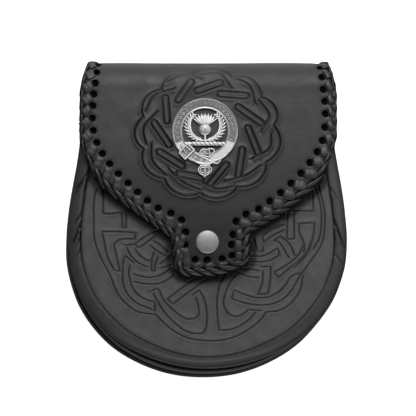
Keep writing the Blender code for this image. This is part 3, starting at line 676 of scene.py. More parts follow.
def front_relief(flat):
    """Heights of the front: grooves, slow waves and the edge rolled down to the seam; with painted shade in
    the grooves, in the seam's crease and as the flap's shadow.
    """
    apart = distance_to(flat, front_lines)
    rim = distance_to(flat, front_edge)
    fade = np.clip((PATTERN_TOP - flat[:, 1]) / PATTERN_FADE, 0.0, 1.0)
    roll = -0.9 * bell(rim, 0.9) + 0.12 * bell(rim, 0.9, 2.2)
    height = groove(apart) * fade + soft_waves(*flat.T) * (1 - np.exp(-rim / 6)) + roll
    covered = inside(lace_line, flat)
    past_lace = np.where(covered, 0.0, distance_to(flat, [lace_line]))
    # painted shadow of the flap on the front: full under it and a little past the lace, then fading
    painted_flap_shadow = bell(np.clip(past_lace - SHADOW_PAST, 0, None), SHADOW_FADE)
    # painted shade in the crease along the seam
    crease_shade = bell(rim, 0.6) * seam_weight(flat[:, 1])
    return height, np.maximum.reduce([0.7 * bell(apart, 0.4) * fade, painted_flap_shadow, crease_shade])


def place_front(flat):
    """Flat leather of the front set on the crowned form."""
    x, y, h = flat.T
    return np.column_stack((x, y, front_height(x, y) - FRONT_THICK + h))


sheet("front_sheet", [front_outline, ring((SNAP_X, SNAP_Y), RIVET_R + CLEARANCE)], front_lines,
      front_relief, place_front, FRONT_THICK, SHEET_STEP, [FRONT_LEATHER, FLESH_SIDE, CUT_EDGE_AND_SHADE],
      ["front_panel"])

# %% [markdown]
# ## The flap
# The flap is the thickest leather of the pouch. The lace runs through a row of round holes near its edge,
# spaced as the maker's punch spaced them: a few are charted, and the rest lie evenly between. A ring of
# interlace is pressed into its middle: eleven lobes, each crossed by the round end of the next band. The
# flap is a sheet like the front, only laid out flat first and then bent over the fold.

# %% Ring of knotwork on the flap
RING_SLOTS = (
    # from, to: the middles of a slot's two round ends, in pixels as all of the ring is
    ((191, 82), (178, 100)), ((220, 83), (197, 91)), ((220, 94), (246, 96)), ((238, 107), (261, 123)),
    ((248, 128), (258, 153)), ((242, 150), (238, 175)), ((226, 165), (210, 184)), ((179, 174), (201, 178)),
    ((159, 152), (182, 166)), ((154, 123), (169, 145)), ((165, 98), (167, 121)))
RING_ARCS = (
    ((167, 82), (186, 74), (202, 79)), ((200, 73), (217, 72), (232, 88)), ((233, 78), (249, 85), (255, 103)),
    ((259, 100), (269, 115), (261, 131)), ((271, 133.5), (270, 147), (252, 159)),
    ((260, 166), (247, 175), (227, 181)), ((233, 186.5), (217, 189), (199, 181)),
    ((200, 190), (185, 183.5), (169, 170)), ((165, 175), (152, 160), (151, 143)),
    ((146, 144), (143, 129), (156.5, 112)), ((145, 111), (153.5, 96), (173, 89)))
RING_CENTRE = (207.6, 133.0)
RING_CUSPS = (-164.7, -130.4, -96.5, -63.4, -29.3, 7.1, 36.3, 68.5, 103.9, 134.4, 164.7)    # degrees
RING_REACH = (73.5, 66.5)                # to a lobe's top, across and up
CUSP_REACH = 0.905                       # a cusp's share of that
SLOT_HALF = 3.0
FLAP_LEVEL = 44.0                        # height that the ring lies at
FLAP_STEP = 0.8                          # step along the flap's lines


def slot_run(a, b):
    """A closed slot: two straight sides and half circles round its ends a and b, in pixels."""
    a, b = np.array(a, float), np.array(b, float)
    along = (b - a) / np.hypot(*(b - a))
    across = np.array((-along[1], along[0]))
    turns = np.linspace(0.0, math.pi, 9)[:, None]
    end = SLOT_HALF * (across * np.cos(turns) + along * np.sin(turns))
    return np.vstack((a - end[-1:], b + end, a - end))


def lobe_run(start, end):
    """One outer lobe between two cusps: an arc that swells from the cusps' reach to the lobe's top."""
    share = np.linspace(0.0, 1.0, 13)
    turns = np.radians(start + (end - start) * share)
    reach = CUSP_REACH + (1 - CUSP_REACH) * np.sin(math.pi * share)**0.8
    arc = np.column_stack((np.cos(turns) * RING_REACH[0], -np.sin(turns) * RING_REACH[1]))
    return arc * reach[:, None] + RING_CENTRE


lobes = [lobe_run(a, b) for a, b in zip(RING_CUSPS, (*RING_CUSPS[1:], RING_CUSPS[0] + 360.0))]
ring_runs = [slot_run(*ends) for ends in RING_SLOTS] + lobes
flap_lines = ([even(from_photo(run, FLAP_LEVEL), FLAP_STEP) for run in ring_runs]
              + [smooth_line(from_photo(run, FLAP_LEVEL), FLAP_STEP) for run in RING_ARCS])
print(len(flap_lines), "pressed lines on the flap")

# %% The flap's sheet
TAIL_HALF, TAIL_LENGTH, TAIL_CORNER = 72.0, 18.0, 6.0
BADGE_X, BADGE_Y, BADGE_POST_Y = -1.5, 55.9, 17.8
STUD_HOLE_R, BADGE_HOLE_R = 2.3, 1.45
RING_FADE = ((60.0, 90.0), (0.85, 0.5))  # towards the fold the ring is worn down: v, share of its depth left
AROUND_HOLES = (0.7, 1.3, 2.1)           # distances of the rows of points round a hole
tail_v = FOLD_Y + FOLD_LENGTH
flap_edge = even(turn_line + lace_inward * EDGE_IN, FLAP_STEP)
(left_x, left_v), (right_x, right_v) = flap_edge[[0, -1]]
tail = rounded(((right_x, right_v, 0), (right_x, tail_v - 1, 3), (TAIL_HALF, tail_v - 1, 1),
                (TAIL_HALF, tail_v + TAIL_LENGTH, TAIL_CORNER),
                (-TAIL_HALF, tail_v + TAIL_LENGTH, TAIL_CORNER), (-TAIL_HALF, tail_v - 1, 1),
                (left_x, tail_v - 1, 3), (left_x, left_v, 0)), 1.0)
flap_outline = np.vstack((flap_edge, even(tail, 1.0)[1:-1]))
flap_rings = [ring(hole, HOLE_R) for hole in holes]
post_rings = ([ring((SNAP_X, SNAP_Y), STUD_HOLE_R)]
              + [ring((BADGE_X, BADGE_Y + side * BADGE_POST_Y), BADGE_HOLE_R) for side in (-1, 1)])


def flap_relief(flat):
    """Heights of the flap: ring, sunk leather round each lace hole, slow waves, rolled rim; painted shade in
    the ring's grooves.
    """
    apart = distance_to(flat, flap_lines)
    rim = distance_to(flat, [flap_edge])
    centres = np.vstack((holes, [(SNAP_X, SNAP_Y)]))
    near = np.sqrt(((flat[:, None] - centres[None])**2).sum(axis=2)).min(axis=1) - HOLE_R
    worn = np.interp(flat[:, 1], *RING_FADE)
    height = (worn * groove(apart) - 0.35 * bell(rim, 0.6) - 0.12 * bell(near, 0.8)
              + soft_waves(*flat.T) * 0.8)
    return height, 0.6 * worn * bell(apart, 0.4)


around_holes = [ring(hole, HOLE_R + gap, 22) for hole in holes for gap in AROUND_HOLES]
sheet("flap_sheet", [flap_outline, *flap_rings, *post_rings], flap_lines, flap_relief, bend_flap,
      FLAP_THICK, SHEET_STEP, [FLAP_LEATHER, FLESH_SIDE, CUT_EDGE_AND_SHADE], ["flap"], around_holes)

# %% [markdown]
# ## The lace
# The edge is bound with two families of flat lace. The first comes up through each hole, runs slanting to
# the edge, turns round it and goes back underneath. The second is the braid that shows outside them, one
# short piece between each two neighbours, high where it starts and low where it ends. Each piece is a
# rounded section carried along its own path. It could be drawn as curves with a bevel, but their section
# can't cup in the hole and open out on the way. All paths of a family are one array, worked out on the
# flat leather and then bent with the flap, so the lace follows the fold by itself.

# %% Ribbons of lace
SHADE_BLACK_FROM = 0.6                           # faces whose painted shade averages more than this are made solid black
FLANK_FADE = 0.3


def unit(vectors):
    """Vectors scaled to length one."""
    return vectors / np.linalg.norm(vectors, axis=-1, keepdims=True)


def strips(paths, ups, half_width, half_thick, crown=0.0, sides=14, square=0.75):
    """Rounded flat strips: at each path point a superellipse, crowned on top, stood across the path.

    paths and ups have a row of points for each strip; the widths and the crown match them or are single.
    A lower square gives flatter faces: the section is cos and sin to that power.
    """
    along = unit(np.gradient(paths, axis=1))
    across = unit(np.cross(along, ups))
    up = np.cross(across, along)
    turns = angles(sides)
    wide, high = (np.sign(part) * np.abs(part)**square for part in (np.cos(turns), np.sin(turns)))
    w, t, c = (np.broadcast_to(size, paths.shape[:2])[..., None] for size in (half_width, half_thick, crown))
    rise = t * high + c * (1 - wide**2)
    points = (paths[:, :, None] + across[:, :, None] * (w * wide)[..., None]
              + up[:, :, None] * rise[..., None])
    count, steps = paths.shape[:2]
    starts = np.arange(count) * steps * sides
    quads = np.vstack([grid_faces(steps, sides, True, start) for start in starts])
    caps = np.vstack([end_caps(steps, sides, start) for start in starts])
    return points.reshape(-1, 3), [quads, caps]


def ribbons(name, place, material, replaced, slot, paths, *shape, dark=0.0, rim=0.0, flank=1.0, **section):
    """Strips made into a piece, once place() has set their points.

    dark is painted shade for each path point, rim is painted shade on the two edges of the strip, and flank
    is how far across the strip, from -1 to 1, the painted black shade on a lace's outer side starts.
    """
    points, faces = strips(paths, *shape, **section)
    dark = np.broadcast_to(dark, paths.shape[:2]).ravel()
    sides = len(points) // len(dark)
    across = np.cos(angles(sides))
    edges = np.maximum(rim * np.abs(across)**8, np.clip((across - flank) / FLANK_FADE, 0.0, 1.0))
    painted_shade = np.maximum(dark[:, None], edges).ravel()
    # faces deep in painted shade take the black material
    deep = np.concatenate([painted_shade[group].mean(axis=1) > SHADE_BLACK_FROM for group in faces])
    return add_piece(name, place(points), faces, [material, CUT_EDGE_AND_SHADE], replaced, [("painted_shade", painted_shade)],
                     deep, sharp=60.0)


# %% Where each strand runs
SLANTS = (
    # number of the hole, degrees that its strand slants by
    (0, 36.0), (4, 40.0), (12, 38.0), (33, 37.0), (36, 28.0), (39, 17.0), (45, 17.0))
TWICE = (20, 24)                         # holes at the tongue's corners, which the lace goes through twice
TONGUE = slice(16, 33)                   # strands round the tongue, which end evenly apart
line_length = lengths(turn_line)


def on_line(where, line):
    """Points of a line of the flap's edge at distances along it."""
    return np.stack([np.interp(where, line_length, line[:, k]) for k in range(2)], -1)


from_hole = np.sort(np.concatenate((np.arange(len(holes)), TWICE)))
starts = holes[from_hole]
slant = np.radians(np.interp(from_hole, *np.array(SLANTS).T))
nearest = np.argmin(((starts[:, None] - turn_line[None])**2).sum(axis=2), axis=1)
base = line_length[nearest]
base = np.convolve(np.pad(base, 1, mode="edge"), (0.25, 0.5, 0.25), mode="valid")
base[0], base[-1] = line_length[nearest[[0, -1]]]
reach = np.sqrt(((starts - on_line(base, turn_line))**2).sum(axis=1))
ends = np.clip(base + np.tan(slant) * reach, 0.0, line_length[-1])
ends[TONGUE] = np.linspace(ends[TONGUE][0], ends[TONGUE][-1], len(ends[TONGUE]))
edge_points = on_line(ends, turn_line)
run = np.sqrt(((edge_points - starts)**2).sum(axis=1))
heading = (edge_points - starts) / run[:, None]
pitch = np.gradient(ends)
straight = (heading * -unit(on_line(ends, lace_inward))).sum(axis=1)
print(len(run), "strands run", round(float(run.min()), 1), "to", round(float(run.max()), 1), "mm")

# %% The strands' paths
STRAND_STEPS, PATH_STEP = 52, 0.05
TOP_H, TURN_H = 3.12, 1.25               # heights of a strand on the flap, and of the middle of its turn
END_IN, BEND = 2.0, 3.4                  # how far inside the turning line a strand ends, and starts to bend
RISE_END = 3.2                           # where it lies level, away from the hole's middle
RISE = ((1.0, -1.3), (1.0, 0.3), (1.05, 1.5), (1.3, 2.2), (2.0, 2.75), (RISE_END, TOP_H))
ROLL, SECOND_LIFT = 0.06, 0.3
chance = np.random.default_rng(7)
loose = chance.normal(0.0, 1.0, (4, len(starts), 1))      # how each strand lies: roll, width, crown, height


def strand_path(length):
    """One strand in its own plane (u from the hole, h): up, along, round the edge and back underneath."""
    level = ((0.5 * (RISE_END + length - BEND), TOP_H + 0.05),)
    turns = np.radians(np.arange(90, -91, -22.5))
    bend = np.column_stack((length - BEND + (BEND - END_IN) * np.cos(turns),
                            TURN_H + (TOP_H - TURN_H) * np.sin(turns)))
    under = ((length * 0.55, -0.72), (1.6, -0.8), (-2.6, -0.75))
    return smooth_line(np.vstack((RISE, level, bend, under)), PATH_STEP)


flat_paths = []
for length in run:
    path = strand_path(length)
    flat_paths.append(even(path, lengths(path)[-1] / (STRAND_STEPS - 1))[:STRAND_STEPS])
flat_paths = np.array(flat_paths)
u, h = flat_paths[..., 0], flat_paths[..., 1]
again = np.concatenate(([False], from_hole[1:] == from_hole[:-1]))[:, None]      # the upper of two strands
lift = (0.07 * loose[3] + SECOND_LIFT * again) * np.clip(h - 2.0, 0.0, 1.0)
strand_paths = np.concatenate((starts[:, None] + heading[:, None] * u[..., None], (h + lift)[..., None]), -1)
rising = unit(np.gradient(flat_paths, axis=1))
strand_ups = np.concatenate((heading[:, None] * -rising[..., 1:], rising[..., :1]), -1)
along_edge = np.column_stack((-heading[:, 1], heading[:, 0]))
strand_ups[..., :2] += along_edge[:, None] * (ROLL + 0.05 * loose[0])[..., None]

# %% The strands' widths and shades
STRAND_THICK, STRAND_SQUARE = 0.48, 0.55          # half the thickness, and how flat the section's faces are
HOLE_HALF, LEAST_HALF, MOST_HALF = 1.95, 2.2, 3.4     # half widths in the hole, and at the edge
LONG_RUNS, LONG_HALF = (11.0, 15.0), (3.4, 2.5)       # long strands are pulled narrower
NECK_H, NECK_FADE = 2.75, 0.5            # below this height a strand narrows to fit the hole
WIDEN_FROM, WIDEN_TO = 2.5, 1.0          # it widens from so far out of the hole to so far before its end
CUP, CROWN = -1.0, 0.42                  # the section's bulge: hollow in the hole, round on the leather
CUP_END, CUP_FADE = 2.9, 1.5             # the hollow runs out so far from the hole's middle, over so much
DARK_H, DARK_FADE, DARK_IN = 2.2, 0.7, 3.0     # painted shade on low parts, near the hole and under the flap

before = np.arange(STRAND_STEPS) < u.argmax(axis=1)[:, None]     # the part before the turn at the edge
in_hole = np.clip((CUP_END - u) / CUP_FADE, 0.0, 1.0) * before
in_hole = in_hole**2 * (3 - 2 * in_hole)
neck = np.clip((NECK_H - h) / NECK_FADE, 0.0, 1.0) * before
toward_edge = np.clip((u - WIDEN_FROM) / (run[:, None] - WIDEN_FROM - WIDEN_TO), 0.0, 1.0)
edge_half = np.minimum(np.clip(0.5 * pitch * straight, LEAST_HALF, MOST_HALF),
                       np.interp(run, LONG_RUNS, LONG_HALF))[:, None]
strand_width = edge_half * (0.94 + 0.06 * toward_edge) * (1 + 0.025 * loose[1])
strand_width = strand_width + (HOLE_HALF - strand_width) * neck
shaded = before & (u < DARK_IN) | ~before & (u < run[:, None] - DARK_IN)
strand_dark = np.clip((DARK_H - h) / DARK_FADE, 0.0, 1.0) * shaded
# painted shade: on each strand's low parts, and along its two edges
ribbons("lace_strands", bend_flap, LACE_LEATHER, ["flap_lacing"], "lace", strand_paths, strand_ups,
        strand_width, STRAND_THICK, (CROWN + 0.08 * loose[2]) * (1 - in_hole) + CUP * in_hole,
        square=STRAND_SQUARE, dark=strand_dark, rim=0.6)

# %% The braid outside the strands
BRAID_KEYS = np.array((
    # share of the way to the next strand, past the strands' ends, height, lean of its face outwards
    (-0.32, 0.3, 1.0, 0), (-0.20, 0.6, 2.4, 5), (0.0, 1.1, 3.2, 12), (0.30, 1.8, 3.3, 22),
    (0.58, 2.6, 2.8, 38), (0.85, 3.3, 2.0, 55), (1.1, 3.8, 0.9, 75), (1.35, 3.9, -0.4, 100)))
BRAID_STEPS = 30
BRAID_HALF, BRAID_THICK, BRAID_CROWN = 1.9, 0.45, 0.35    # half width and thickness of a leaf, and its bulge
BRAID_IN = 1.4                           # the strands' ends lie this far inside the turning line
SIDE_SHARE = ((22.0, 45.0), (1.0, 0.4))  # down the sides the braid is narrower: v, share of its size

fine = np.linspace(0.0, len(BRAID_KEYS) - 1.0, BRAID_STEPS)
braid = through(BRAID_KEYS, np.arange(len(BRAID_KEYS)), fine)
where = np.clip(ends[:-1, None] + pitch[:-1, None] * braid[None, :, 0], 0.0, line_length[-1])
places = on_line(where, turn_line)
full = np.interp(places[..., 1], *SIDE_SHARE)
inwards = unit(on_line(where, lace_inward))
height = braid[None, :, 2] + 0.1 * chance.normal(0.0, 1.0, (len(where), 1))
outer = braid[None, :, 1] * full - BRAID_IN
braid_paths = np.concatenate((places - inwards * outer[..., None], height[..., None]), -1)
lean = np.radians(braid[:, 3])[None, :, None]
braid_ups = np.concatenate((-inwards * np.sin(lean), np.broadcast_to(np.cos(lean), (*where.shape, 1))), -1)
share = np.linspace(0.0, 1.0, BRAID_STEPS)
taper = np.interp(share, (0.0, 0.1, 0.4, 0.8, 1.0), (0.75, 0.95, 1.0, 0.85, 0.5))
# painted shade: black at the start and the tail of each leaf, along its edges and on its outer flank
ribbons("lace_braid", bend_flap, LACE_LEATHER, ["flap_lacing"], "lace", braid_paths, braid_ups,
        BRAID_HALF * taper * full, BRAID_THICK, BRAID_CROWN * full, square=0.7, rim=0.4, flank=-0.05,
        dark=np.interp(share, (0.0, 0.07, 0.6, 0.85, 1.0), (0.95, 0.0, 0.0, 0.5, 0.95)))

# %% The lace inside the edge
CORE_IN, CORE_H = 0.7, 1.2               # where it runs: inside the turning line, and above the flap's back
CORE_HALF, CORE_THICK = 1.4, 1.15
core_line = even(turn_line, 1.2)
core_out = -left_of(core_line)
core_path = np.column_stack((core_line - core_out * CORE_IN, np.full(len(core_line), CORE_H)))[None]
core_up = np.column_stack((core_out, np.zeros(len(core_out))))[None]
# the core is painted nearly black, as the shade seen in the slots between strands
ribbons("lace_core", bend_flap, LACE_LEATHER, ["flap_lacing"], "lace", core_path, core_up, CORE_HALF,
        CORE_THICK, dark=0.9)

# %% [markdown]
# ## The side band
# The band that joins front to back is one long strip. It leaves the front's edge in a sharp crease,
# bulges over in a quarter round, turns in to the corded seam and flares out again to the back. So its
# section is a curve, and the whole band is that section carried round the pouch's stations: every
# station has its own reach, and every point of the section is found for all stations at once. Where the
# leather was gathered it has slanting folds, which are pressed into the bulge along charted lines.

# %% Section of the band
LIMB_Z, NECK_Z, SEAM_Z, LIP_Z = 28.0, 24.5, 19.6, 14.0
PIPING_R, GUSSET_THICK = 1.2, 1.8
NECK_IN, SEAM_DIP, SEAM_HALF = 0.6, 0.4, 2.2   # the band draws in under its bulge, and again to the seam
LIP_IN, FOOT_IN = 2.6, 1.4               # how far inside the back's rim the band flares to and stands
BULGE_ROWS, SECTION_ROWS = 13, 54
CREASE_DEPTH, CREASE_WIDTH = 1.1, 0.9

x, y, band, welt, back = stations.T
top = front_height(x, y)
turns = np.linspace(0.0, math.pi / 2, BULGE_ROWS)[:, None]
bulge = np.stack((CLEARANCE + (band - CLEARANCE) * np.sin(turns),
                  LIMB_Z + (top - LIMB_Z) * np.cos(turns)), -1)
seam = welt - 2 * PIPING_R - CLEARANCE
lower = np.stack([np.column_stack((reach, np.full(STATIONS, z))) for reach, z in (
    (band - NECK_IN, NECK_Z), (seam + SEAM_DIP, SEAM_Z + SEAM_HALF), (seam, SEAM_Z),
    (seam + SEAM_DIP, SEAM_Z - SEAM_HALF), (back - LIP_IN, LIP_Z), (back - FOOT_IN, BACK_TOP + CLEARANCE))])
section_keys = np.vstack((bulge, lower))
middle = section_keys[:, STATIONS // 2]
fine_keys = np.linspace(0.0, lengths(middle)[-1], SECTION_ROWS)
section = through(section_keys.reshape(len(section_keys), -1), lengths(middle), fine_keys)
section = section.reshape(SECTION_ROWS, STATIONS, 2)
crease = seam_weight(y) * bell(section[..., 0], CREASE_WIDTH, CLEARANCE)
section[..., 1] -= CREASE_DEPTH * crease * (section[..., 1] > LIMB_Z)
print("band section:", SECTION_ROWS, "points, bulge", round(float(band.min()), 1), "to",
      round(float(band.max()), 1), "mm")

# %% Lean and folds of the band
LEAN_Y, LEAN_X = (-75.0, -60.0, -45.0, -30.0, -10.0), (-2.8, -2.5, -1.6, -0.9, -0.4)
FOLD_LEVEL = 34.0                        # height that the folds lie at
BAND_FOLDS = (
    # from, to (pixels), depth in mm
    ((87.0, 174.5), (76.5, 187.5), 0.9), ((84.6, 181), (75.8, 193), 0.6),
    ((82.6, 212.5), (75.5, 221.5), 0.9), ((81.2, 217.5), (77.5, 221), 0.7),
    ((80.9, 223.8), (73.2, 241.5), 1.2), ((81.3, 236), (76.5, 246), 0.6), ((81.5, 248), (77, 256), 0.6),
    ((329.3, 187.5), (338, 198.8), 0.45), ((332.4, 218), (343.2, 244), 1.2),
    ((334.9, 255), (341.8, 262.5), 0.45))


def back_lean(y, z):
    """Sideways lean of the pouch: none above the seam, most at the back and towards the bottom."""
    return np.interp(y, LEAN_Y, LEAN_X) * np.clip((SEAM_Z - z) / (SEAM_Z - BACK_TOP), 0.0, 1.0)


def around(reach, z):
    """Points that lie a reach outside the front's edge at a height: a row for each station."""
    return np.stack((x + outward[:, 0] * reach + back_lean(y, z), y + outward[:, 1] * reach, z), -1)


def fold_relief(points):
    """Folds of the bulge: along each a groove, with a soft ridge on its lower side.

    A logistic curve at either end, in shares of the fold's length, lets it run out softly.
    """
    out = np.zeros(len(points))
    for a, b, depth in BAND_FOLDS:
        a, b = from_photo([a, b], FOLD_LEVEL)
        along = (b - a) / np.hypot(*(b - a))
        down = np.array((along[1], -along[0])) * np.sign(along[0])
        share = np.clip((points - a) @ along / np.hypot(*(b - a)), -3.0, 4.0)
        off = (points - a) @ down
        ends_soft = 1 / (1 + np.exp(-(share + 0.02) * 14)) / (1 + np.exp((share - 1.02) * 14))
        out += ends_soft * depth * (0.35 * bell(off, 1.2, 2.0) - bell(off, 0.75))
    return out


# %% Side band
LIP_RIDGE, SLACK = 0.5, 0.25             # height of the ridge above the back, and of the band's slow waves
INNER_EVERY = 4                          # the band's inside has one row of points for so many outside
reach, z = section[..., 0], section[..., 1]
outer_normal = np.gradient(section, axis=0)
outer_normal = unit(np.stack((-outer_normal[..., 1], outer_normal[..., 0]), -1))
outside = around(reach, z)
folds = fold_relief(outside.reshape(-1, 3)[:, :2]).reshape(z.shape) * (z > NECK_Z)
folds *= np.clip((reach - 0.2) / 0.8, 0.0, 1.0)
slack = SLACK * np.sin(np.linspace(0, 46, STATIONS) + 2 * np.sin(np.linspace(0, 17, STATIONS)))
swell = folds + slack * bell(z, 4, 32) + LIP_RIDGE * bell(z, 0.8, LIP_Z)
moved = section + outer_normal * swell[..., None]
inner = section - outer_normal * GUSSET_THICK
inner[0], inner[-1] = section[0] - (0.0, GUSSET_THICK), section[-1] - (GUSSET_THICK, 0.0)
inner = inner[::INNER_EVERY][::-1]
loop = np.concatenate((moved, inner))
points = around(loop[..., 0], loop[..., 1]).transpose(1, 0, 2).reshape(-1, 3)

# Painted shade of each point: in the folds, along the crease, where the band turns under, and by the seam.
roundness = (z - LIMB_Z) / (top - LIMB_Z)     # 1 at the front's edge, 0 where the band turns under
turned_under = np.clip((0.55 - roundness) / 0.3, 0.0, 1.0) * (z > NECK_Z)
by_seam = np.interp(z, (11.5, 12.5, 13.3, 14.7, 15.6, NECK_Z), (0.9, 0.9, 0.0, 0.0, 1.0, 1.0)) * (z < NECK_Z)
dark = np.clip(-2.0 * folds, 0, 1) + crease * (z > LIMB_Z) + turned_under + by_seam
dark = np.clip(np.concatenate((dark, np.zeros(inner.shape[:2]))), 0.0, 1.0).T.ravel()
faces = [grid_faces(STATIONS, len(loop), True), end_caps(STATIONS, len(loop))]
# faces in deep painted shade below the bulge are made black
low_dark = dark * (points[:, 2] < NECK_Z)
deep = np.concatenate([low_dark[group].mean(axis=1) > SHADE_BLACK_FROM for group in faces])
add_piece("side_band", points, faces, [BAND_LEATHER, CUT_EDGE_AND_SHADE], ["gusset"],
          [("painted_shade", dark)], deep)

# %% Cord in the seam
CORD_SIDES = 14
turns = angles(CORD_SIDES)[:, None] * np.ones(STATIONS)
cord = around(welt - PIPING_R + PIPING_R * np.cos(turns), SEAM_Z + PIPING_R * np.sin(turns))
add_piece("seam_cord", cord.transpose(1, 0, 2).reshape(-1, 3),
          [grid_faces(STATIONS, CORD_SIDES, True), end_caps(STATIONS, CORD_SIDES)],
          [BAND_LEATHER], ["piping"])

# %% [markdown]
# ## The back and its belt loops
# The photograph does not show the back. On a pouch like this it is a plain panel, sewn to the band with a
# row of stitches just inside its rim, with two leather loops for the belt. The panel is a sheet turned
# over, so that its grain side faces the ground. The loops are flat straps carried along a path that
# stands off the panel, and the stitches are the same strips again, very short and round.

# %% Back panel
SEAM_IN = 3.6                            # how far inside the back's rim its seam runs
BACK_STEP = 3.0                          # the wide lattice of the back
lean = np.column_stack((back_lean(y, BACK_TOP), np.zeros(STATIONS)))
edge_of_back = stations[:, :2] + outward * back[:, None] + lean
turned_over = edge_of_back * (-1, 1)
back_outline = np.vstack((turned_over, even(turned_over[[-1, 0]], 3.0)[1:-1]))


def back_relief(flat):
    """Heights of the back: slow waves, a rolled rim and the sunk line of the seam, which gets painted shade.
    """
    rim = distance_to(flat, [closed(back_outline)])
    height = (-0.5 * bell(rim, 0.7) - 0.25 * bell(rim, 0.7, SEAM_IN)
              + soft_waves(*flat.T) * 0.35 * (1 - np.exp(-rim / 6)))
    return height, bell(rim, 0.8, SEAM_IN)


sheet("back_sheet", [back_outline], [smooth_line(turned_over, 2.0)[::2]], back_relief,
      lambda flat: flat * (-1, 1, -1) + (0, 0, BACK_TOP), BACK_TOP - BACK_LOW, BACK_STEP,
      [FRONT_LEATHER, FLESH_SIDE], ["back_panel"])

# %% Belt loops
LOOP_X, LOOP_Y, LOOP_HALF, LOOP_THICK = 42.0, 8.0, 12.0, 2.0
BACK_SHIFT = -1.2                        # the middle of the back, as the solids have it
LOOP_FLAT, LOOP_SLOPE, LOOP_SEWN = 22.0, 6.0, 12.0
SEWN_Z = BACK_LOW - CLEARANCE - LOOP_THICK / 2
slope_end, loop_end = LOOP_FLAT + LOOP_SLOPE, LOOP_FLAT + LOOP_SLOPE + LOOP_SEWN
share = np.linspace(0.0, 1.0, 9)
ramp = np.column_stack((LOOP_FLAT + LOOP_SLOPE * share,
                        LOOP_THICK / 2 + (SEWN_Z - LOOP_THICK / 2) * (1 - np.cos(math.pi * share)) / 2))
half_path = np.vstack((ramp, [(loop_end, SEWN_Z)]))
loop_path = even(np.vstack((half_path[::-1] * (-1, 1), half_path)), 1.2)


def belt_loop(name, x, replaced):
    """A flat strap with rounded edges, carried along the loop's path."""
    path = np.column_stack((np.full(len(loop_path), x), loop_path[:, 0] + LOOP_Y, loop_path[:, 1]))[None]
    ups = np.broadcast_to((0.0, 0.0, 1.0), path.shape)
    return ribbons(name, lambda p: p, BAND_LEATHER, [replaced], "leather", path, ups, LOOP_HALF,
                   LOOP_THICK / 2 - 0.02, sides=40, square=0.3)


belt_loop("loop_left", BACK_SHIFT - LOOP_X, "belt_loop_left")
belt_loop("loop_right", BACK_SHIFT + LOOP_X, "belt_loop_right")

# %% Stitches on the back
THREAD = leather("waxed_thread", (0.05, 0.049, 0.046), 0.6, 3000.0, 0.05, 0.5)
STITCH, STITCH_GAP, THREAD_R, DIP = 3.1, 4.2, 0.4, 0.55
TAIL_SEAM_Y, TAIL_SEAM_HALF = 72.0, 66.0     # the row that holds the flap's tail
LOOP_STITCHES, LOOP_SEAM_HALF = 5, 8.4       # each of the rows that hold the belt loops


def stitches(name, middles, directions, z):
    """Short round threads that lie along a seam at a height, each dipping into the leather at its ends."""
    share = np.linspace(-1.0, 1.0, 9)
    flat = middles[:, None] + directions[:, None] * (share * STITCH / 2)[None, :, None]
    sag = np.broadcast_to(z[:, None, None] + (DIP * share**4)[None, :, None], (*flat.shape[:2], 1))
    paths = np.concatenate((flat, sag), -1)
    ups = np.broadcast_to((0.0, 0.0, -1.0), paths.shape)
    return ribbons(name, lambda p: p, THREAD, [], "leather", paths, ups, THREAD_R, THREAD_R * 0.8,
                   sides=8, square=1.0)


def straight_row(xs, y, z):
    """The middles, directions and height of a row of stitches across the back."""
    return np.column_stack((xs, np.full(len(xs), y))), np.tile((1.0, 0.0), (len(xs), 1)), z


seam_line = even(edge_of_back - outward * SEAM_IN, STITCH_GAP)
rows = [(seam_line, unit(np.gradient(seam_line, axis=0)), BACK_LOW + 0.12),
        straight_row(BACK_SHIFT + np.arange(-TAIL_SEAM_HALF, TAIL_SEAM_HALF + 0.1, STITCH_GAP), TAIL_SEAM_Y,
                     BACK_LOW - 0.1)]
across_loop = np.linspace(-LOOP_SEAM_HALF, LOOP_SEAM_HALF, LOOP_STITCHES)
for side in (-1, 1):
    for end in (-1, 1):
        for off in (LOOP_SLOPE * 0.45, LOOP_SEWN * 0.85):
            rows.append(straight_row(BACK_SHIFT + side * LOOP_X + across_loop,
                                     LOOP_Y + end * (slope_end + off), SEWN_Z - LOOP_THICK / 2 - 0.12))
middles, directions, levels = zip(*rows)
stitches("back_stitches", np.vstack(middles), np.vstack(directions),
         np.repeat(levels, [len(row) for row in middles]))

# %% [markdown]
# ## The press stud
# The stud's cap is a pressed disc of nickel with a rolled rim and a shallow dome. A cylinder with bevels
# would have a flat top, and the dome is what catches the light. A turned piece is one profile carried
# round an axis, so it is a grid of profile points by turns. It then stands on the flap at the stud's
# place, tipped to the leather's slope there, and its post and socket go on through the flap.

# %% Turned pieces and metal
def seat(x, y, h):
    """Axes and origin of a frame that lies on the flap at a place: across, along and out of the leather."""
    here, across, along = bend_flap([(x, y, h), (x + 1.0, y, h), (x, y + 1.0, h)])
    across, along = across - here, along - here
    up = unit(np.cross(across, along))
    along = unit(np.cross(up, across))
    return np.array((np.cross(along, up), along, up)), here


def set_on(points, frame_axes):
    """Points of a piece's own frame, set in the seat's frame."""
    axes, here = frame_axes
    return points @ axes + here


